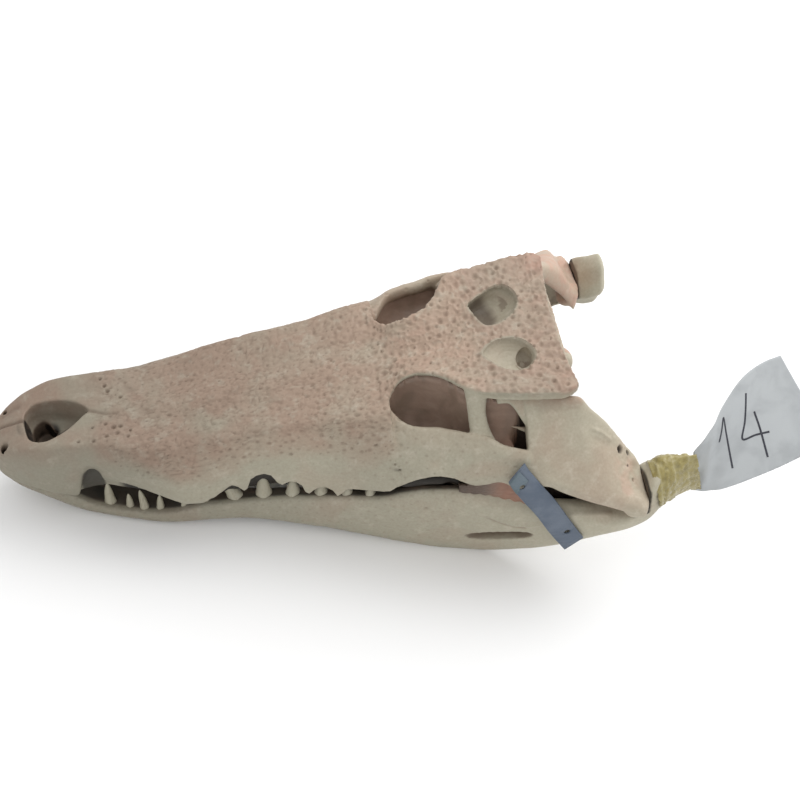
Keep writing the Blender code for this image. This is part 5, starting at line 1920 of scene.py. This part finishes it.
def tissue_material(looks):
    """Dried skin and muscle with streaks along the skull."""
    made, tree, shader, where = new_material("dried_tissue")
    lines = grain(tree, drawn_out(tree, where, (0.22, 0.8, 0.8)), 210.0, 4.0, 0.6, 0.4)
    cloud = grain(tree, where, 60.0, 3.0, 0.5, 0.5)
    colour = layered(
        tree, looks.tissue,
        (spread(tree, lines, 0.35, 0.7, 0.1, 0.8), looks.tissue_pale),
        (spread(tree, cloud, 0.35, 0.6, 0.5, 0), looks.hollow),
        (masked(tree, "pink", 0.6), looks.tissue_pink),
        # Painted shadow where the mask deep is high
        (masked(tree, "deep", 0.95), looks.painted_deep_shadow),
    )
    rough = spread(tree, cloud, 0.3, 0.7, 0.45, 0.65)
    surface(tree, shader, colour, rough, lines, 0.0006, 0.6)
    return made


def tooth_material(looks):
    """Teeth, bare at the tip and bone-coloured at the neck, with fine lines along them."""
    made, tree, shader, where = new_material("tooth_enamel")
    lines = grain(tree, drawn_out(tree, where, (1.0, 1.0, 0.18)), 700.0, 3.0, 0.6, 0.2)
    colour = layered(
        tree, looks.cool,
        (masked(tree, "bare"), looks.tooth),
        (spread(tree, lines, 0.5, 0.8, 0, 0.45), looks.pit),
    )
    surface(tree, shader, colour, spread(tree, lines, 0.3, 0.7, 0.3, 0.5), lines, 0.0003, 0.6)
    return made


def strip_material(looks, name, base):
    """Scuffed plastic with fine lines along the strip."""
    made, tree, shader, where = new_material(name)
    along = drawn_out(tree, where, (0.12, 1.0, 1.0), (0, math.radians(57), 0))
    lines = grain(tree, along, 420.0, 3.0, 0.65)
    cloud = grain(tree, where, 70.0, 3.0, 0.5)
    specks = grain(tree, where, 900.0, 2.0, 0.6)
    colour = layered(
        tree, base,
        (spread(tree, cloud, 0.35, 0.7, 0, 0.45), looks.strip_worn),
        (spread(tree, lines, 0.55, 0.8, 0, 0.4), looks.strip_worn),
        (spread(tree, specks, 0.62, 0.75, 0, 0.35), looks.strip_speck),
    )
    surface(tree, shader, colour, spread(tree, lines, 0.3, 0.7, 0.38, 0.6), lines, 0.0002, 0.5)
    return made


def tape_material(looks):
    """Creased film, paler at the edges of its turns."""
    made, tree, shader, where = new_material("film_tape")
    cloud = grain(tree, where, 110.0, 4.0, 0.6, 0.8)
    fine = grain(tree, where, 600.0, 2.0, 0.6)
    colour = layered(
        tree, looks.tape,
        (spread(tree, cloud, 0.35, 0.65), looks.tape_dark),
        (masked(tree, "edge", 0.35), looks.tape_pale),
    )
    surface(tree, shader, colour, spread(tree, fine, 0.3, 0.7, 0.22, 0.42), cloud, 0.0005, 0.5)
    return made


def paper_material(looks):
    """Paper with grey clouds and fine fibres."""
    made, tree, shader, where = new_material("tag_paper")
    fibre = grain(tree, where, 1400.0, 4.0, 0.7)
    cloud = grain(tree, where, 45.0, 3.0, 0.55, 0.4)
    colour = layered(
        tree, looks.paper,
        (spread(tree, cloud, 0.4, 0.7, 0, 0.55), looks.paper_grey),
        (spread(tree, fibre, 0.55, 0.8, 0, 0.25), looks.paper_grey),
    )
    height = reckon(tree, "ADD", fibre, cloud)
    surface(tree, shader, colour, spread(tree, fibre, 0.3, 0.7, 0.68, 0.85), height, 0.0002, 0.5)
    return made


def ink_material(looks):
    """Marker ink, faded in patches."""
    made, tree, shader, where = new_material("tag_ink")
    patch = grain(tree, where, 900.0, 3.0, 0.6)
    colour = layered(tree, looks.ink, (spread(tree, patch, 0.4, 0.75), looks.ink_faded))
    surface(tree, shader, colour, spread(tree, patch, 0.3, 0.7, 0.4, 0.6), patch, 0.0001, 0.4)
    return made


def shade(label, text, default):
    """A colour setting."""
    return FloatVectorProperty(
        name=label, description=text, subtype="COLOR", size=4, min=0.0, max=1.0,
        default=(*default, 1.0),
    )


def length(label, text, default):
    """A length setting, in metres."""
    return FloatProperty(
        name=label, description=text, default=default, min=0.0001, unit="LENGTH", precision=5
    )


class SkullLooks(bpy.types.PropertyGroup):
    """Colours of the bone, the tissue, the strip, the tape and the tag."""

    warm: shade("Top of the skull", "Pinkish tan of the upper side", (0.38, 0.277, 0.208))
    cool: shade("Sides and jaw", "Greenish cream of the flanks and the jaw", (0.385, 0.36, 0.276))
    pale: shade("Pale bone", "Patches where the bone is worn light", (0.52, 0.475, 0.385))
    pit: shade("Pits", "Dirt in the pits and furrows", (0.17, 0.112, 0.078))
    pink: shade("Pink bone", "Stains at the joints and the rear corners", (0.43, 0.25, 0.19))
    # The brown of the painted shade in the bones' hollows; the socket skin also takes it in random
    # patches
    hollow: shade("Hollows", "Brown of sheltered bone", (0.155, 0.112, 0.08))
    tooth: shade("Teeth", "Bare tooth", (0.36, 0.335, 0.25))
    tissue: shade("Socket skin", "Dried brown skin", (0.23, 0.155, 0.115))
    tissue_pale: shade("Pale socket skin", "Lighter streaks of it", (0.29, 0.205, 0.155))
    tissue_pink: shade("Reddish tissue", "Dried muscle", (0.31, 0.14, 0.085))
    # The near-black of the painted shadow inside the cheeks and past the ragged end of the sockets'
    # skin
    painted_deep_shadow: shade("Dark tissue", "Skin deep inside the cheek", (0.012, 0.008, 0.006))
    strip: shade("Strip", "Slate blue plastic", (0.082, 0.108, 0.15))
    strip_fold: shade("Folded end", "The strip's end, seen from its back", (0.085, 0.125, 0.14))
    strip_worn: shade("Worn strip", "Scuffs on the plastic", (0.16, 0.19, 0.235))
    strip_speck: shade("Specks", "Dark specks on the plastic", (0.03, 0.04, 0.06))
    tape: shade("Tape", "Yellow film", (0.32, 0.268, 0.1))
    tape_dark: shade("Tape over bone", "Film in its creases", (0.24, 0.195, 0.065))
    tape_pale: shade("Tape edges", "Edges of the film", (0.5, 0.47, 0.31))
    paper: shade("Paper", "White paper", (0.45, 0.47, 0.48))
    paper_grey: shade("Grey paper", "Its grey patches", (0.32, 0.335, 0.345))
    ink: shade("Ink", "Marker ink", (0.02, 0.02, 0.03))
    ink_faded: shade("Faded ink", "Its thin patches", (0.06, 0.065, 0.08))


class SkullSizes(bpy.types.PropertyGroup):
    """Mesh sizes and the strength of the bone's relief."""

    cranium_grain: length("Cranium grain", "Edge length of the cranium's mesh", 0.00085)
    jaw_grain: length("Jaw grain", "Edge length of the lower jaw's mesh", 0.0010)
    relief: FloatProperty(
        name="Relief", description="Depth of the pits and furrows", default=1.0, min=0.0, max=3.0
    )
    rays: IntProperty(
        name="Rays", description="Rays that find how sheltered a place is", default=18, min=6
    )


class SkullStage(bpy.types.PropertyGroup):
    """Floor, light and camera."""

    floor_colour: shade("Floor", "Plain pale floor", (0.93, 0.93, 0.93))
    sky: FloatProperty(name="Sky", description="Strength of the white sky", default=0.9, min=0)
    key: FloatProperty(name="Key", description="Power of the large lamp", default=11.0, min=0)
    key_size: FloatProperty(
        name="Lamp size", description="Edge of the large lamp", default=1.2, min=0.1,
        unit="LENGTH",
    )


def finish(piece, material, slot, *nodes):
    """Places a piece in the model, dresses it, ties it to the model's root and hides the CAD nodes
    that it stands for.
    """
    into_model(piece)
    piece.data.materials.clear()
    piece.data.materials.append(material)
    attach(piece, "root")
    if nodes:
        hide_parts(*nodes)


# The CAD nodes that each piece of the cranium stands for
TOP_BONES = {
    "premaxilla_bone": ("premaxillae",),
    "maxilla_bone_left": ("maxilla_left",),
    "maxilla_bone_right": ("maxilla_right",),
    "forehead_bone": ("frontal",),
    "skull_table_bone": ("skull_table", "braincase", "palate"),
}
CHEEK_NODES = ("jugal", "quadrate", "postorbital_bar", "ectopterygoid")


class SKULL_OT_cranium(bpy.types.Operator):
    """Build the cranium with its pits, furrows and openings"""

    bl_idname = "skull.cranium"
    bl_label = "Build the cranium"

    def execute(self, context):
        sizes = context.scene.skull_sizes
        looks = context.scene.skull_looks
        whole = cranium_skin(sizes.cranium_grain / MM)
        cut(whole, *upper_opening(-1), *upper_opening(1))
        parts = divide(carve_cranium(whole, sizes.relief))
        top = bone_material("bone_of_the_top", looks)
        side_bone = bone_material("bone_of_the_side", looks)
        for name, nodes in TOP_BONES.items():
            finish(parts[name], top, "bone_top", *nodes)
        for label, _ in SIDES:
            nodes = [f"{node}_{label}" for node in CHEEK_NODES]
            finish(parts[f"cheek_bone_{label}"], side_bone, "bone_side", *nodes)
        return {"FINISHED"}


class SKULL_OT_lower_jaw(bpy.types.Operator):
    """Build both sides of the lower jaw and their teeth"""

    bl_idname = "skull.lower_jaw"
    bl_label = "Build the lower jaw"

    def execute(self, context):
        sizes = context.scene.skull_sizes
        looks = context.scene.skull_looks
        enamel = tooth_material(looks)
        for label, sign in SIDES:
            bare, room = jaw_skin(label, sign, sizes.jaw_grain / MM)
            piece = carve_jaw(bare, room, sign, sizes.relief)
            finish(
                piece, bone_material("bone_of_the_side", looks), "bone_side",
                f"dentary_{label}", f"jaw_rear_{label}",
            )
            finish(lower_teeth(label, sign), enamel, "bone_side", f"dentary_{label}")
        return {"FINISHED"}


class SKULL_OT_tissue(bpy.types.Operator):
    """Build the dried skin in the eye sockets and the sheets of painted shadow inside the cheeks"""

    bl_idname = "skull.tissue"
    bl_label = "Build the dried tissue"

    def execute(self, context):
        material = tissue_material(context.scene.skull_looks)
        for label, sign in SIDES:
            finish(lining(label, sign), material, "dried_tissue", f"socket_lining_{label}")
            finish(shadow_curtain(label, sign), material, "dried_tissue")
        finish(tissue_tongue(), material, "dried_tissue")
        return {"FINISHED"}


class SKULL_OT_strip(bpy.types.Operator):
    """Build the plastic strip that holds the jaw shut"""

    bl_idname = "skull.strip"
    bl_label = "Build the strip"

    def execute(self, context):
        looks = context.scene.skull_looks
        piece, flap = strip()
        plastic = strip_material(looks, "strip_plastic", looks.strip)
        finish(piece, plastic, "strip_plastic", "jaw_strip")
        fold = strip_material(looks, "strip_fold", looks.strip_fold)
        finish(flap, fold, "strip_plastic", "jaw_strip")
        return {"FINISHED"}


class SKULL_OT_tag(bpy.types.Operator):
    """Build the tape and the paper tag with its number"""

    bl_idname = "skull.tag"
    bl_label = "Build the tape and the tag"

    def execute(self, context):
        looks = context.scene.skull_looks
        finish(tape(), tape_material(looks), "tape_film", "tag_tape")
        finish(tag(), paper_material(looks), "tag_paper", "paper_tag")
        finish(tag_number(), ink_material(looks), "tag_paper")
        return {"FINISHED"}


class SKULL_OT_paint_light_and_shade(bpy.types.Operator):
    """Find how sheltered each place of the bones is, for the painted shade in their hollows, and
    paint the light and shade along the skull
    """

    bl_idname = "skull.weather"
    # This step paints the light and shade of the bones
    bl_label = "Weather the bones"

    def execute(self, context):
        bones = [
            thing for thing in context.scene.objects
            if thing.type == "MESH" and "_bone" in thing.name
        ]
        weather(bones, context.scene.skull_sizes.rays)
        return {"FINISHED"}


class SKULL_OT_stage(bpy.types.Operator):
    """Build the pale floor, the soft light and the camera"""

    bl_idname = "skull.stage"
    bl_label = "Build the stage"

    def execute(self, context):
        stage(context.scene.skull_stage)
        return {"FINISHED"}


class SKULL_PT_panel(bpy.types.Panel):
    """The steps that build the skull, and their settings"""

    bl_idname = "SKULL_PT_panel"
    bl_label = "Crocodile skull"
    bl_space_type = "VIEW_3D"
    bl_region_type = "UI"
    bl_category = "Skull"

    def draw(self, context):
        scene = context.scene
        for group in (scene.skull_sizes, scene.skull_looks, scene.skull_stage):
            for name in group.__annotations__:
                self.layout.prop(group, name)
        for step in STEPS:
            self.layout.operator(step.bl_idname)


STEPS = (
    SKULL_OT_cranium, SKULL_OT_lower_jaw, SKULL_OT_tissue, SKULL_OT_strip, SKULL_OT_tag,
    SKULL_OT_paint_light_and_shade, SKULL_OT_stage,
)
CLASSES = (SkullLooks, SkullSizes, SkullStage, *STEPS, SKULL_PT_panel)


def register():
    for kind in CLASSES:
        bpy.utils.register_class(kind)
    bpy.types.Scene.skull_looks = PointerProperty(type=SkullLooks)
    bpy.types.Scene.skull_sizes = PointerProperty(type=SkullSizes)
    bpy.types.Scene.skull_stage = PointerProperty(type=SkullStage)


def unregister():
    for name in ("skull_looks", "skull_sizes", "skull_stage"):
        delattr(bpy.types.Scene, name)
    for kind in reversed(CLASSES):
        bpy.utils.unregister_class(kind)


# The photograph's camera, in the skull's frame: millimetres, degrees and the pixels of its lens
CAMERA_TARGET = (290.8, 0.0, 9.4)
CAMERA_DISTANCE = 1015.4
CAMERA_ANGLES = (-10.27, 51.82, 1.61)
FOCAL_PIXELS = 1398.3
IMAGE_SIDE = 800
SENSOR = 36.0


def set_camera():
    """A camera where the photograph's camera stood: azimuth, elevation and roll about its view."""
    azimuth, elevation, roll = (math.radians(angle) for angle in CAMERA_ANGLES)
    back = Vector((
        math.sin(azimuth) * math.cos(elevation), -math.cos(azimuth) * math.cos(elevation),
        math.sin(elevation),
    ))
    right = Vector((math.cos(azimuth), math.sin(azimuth), 0))
    up = back.cross(right)
    turned_right = right * math.cos(roll) + up * math.sin(roll)
    turned_up = up * math.cos(roll) - right * math.sin(roll)
    spot = Vector(CAMERA_TARGET) + back * CAMERA_DISTANCE
    rows = []
    for axis in range(3):
        rows.append((turned_right[axis], turned_up[axis], back[axis], spot[axis]))
    location, rotation, _ = (SKULL_TO_MODEL @ Matrix((*rows, (0, 0, 0, 1)))).decompose()
    lens = bpy.data.cameras.new("camera")
    lens.sensor_width = SENSOR
    lens.lens = FOCAL_PIXELS * SENSOR / IMAGE_SIDE
    camera = bpy.data.objects.new("camera", lens)
    camera.location = location
    camera.rotation_euler = rotation.to_euler()
    bpy.context.scene.collection.objects.link(camera)
    bpy.context.scene.camera = camera


LAMP_PLACE = (0.55, 0.45, 1.0)
LAMP_AIM = (0, 0, 0.05)
FLOOR_HALF = 3.0


def lamp(size, power):
    """The large soft lamp, turned to the skull."""
    light = bpy.data.lights.new("key_lamp", "AREA")
    light.size = size
    light.energy = power
    made = bpy.data.objects.new("key_lamp", light)
    made.location = LAMP_PLACE
    aim = Vector(LAMP_AIM) - made.location
    made.rotation_euler = aim.to_track_quat("-Z", "Y").to_euler()
    bpy.context.scene.collection.objects.link(made)


def stage(settings):
    """The pale floor under a white sky, the lamp and the camera."""
    bm = bmesh.new()
    bmesh.ops.create_grid(bm, x_segments=2, y_segments=2, size=FLOOR_HALF)
    floor = to_object("floor", bm)
    paint, tree, shader, where = new_material("pale_floor")
    cloud = grain(tree, where, 3.0, 2.0)
    fine = grain(tree, where, 900.0, 2.0)
    shade_of = tuple(0.985 * c for c in settings.floor_colour[:3]) + (1.0,)
    colour = blend_colour(tree, cloud, settings.floor_colour, shade_of)
    tree.links.new(colour, shader.inputs["Base Color"])
    tree.links.new(spread(tree, fine, 0.3, 0.7, 0.85, 0.95), shader.inputs["Roughness"])
    shader.inputs["Specular IOR Level"].default_value = 0.0
    floor.data.materials.append(paint)
    sky = bpy.data.worlds.new("white_sky")
    sky.use_nodes = True
    back = sky.node_tree.nodes["Background"]
    back.inputs["Color"].default_value = (1, 1, 1, 1)
    back.inputs["Strength"].default_value = settings.sky
    bpy.context.scene.world = sky
    lamp(settings.key_size, settings.key)
    bpy.context.scene.view_settings.view_transform = "Standard"
    set_camera()


def main():
    """Builds every piece in order."""
    register()
    bpy.ops.skull.cranium()
    bpy.ops.skull.lower_jaw()
    bpy.ops.skull.tissue()
    bpy.ops.skull.strip()
    bpy.ops.skull.tag()
    bpy.ops.skull.weather()
    bpy.ops.skull.stage()


if __name__ == "__main__":
    main()
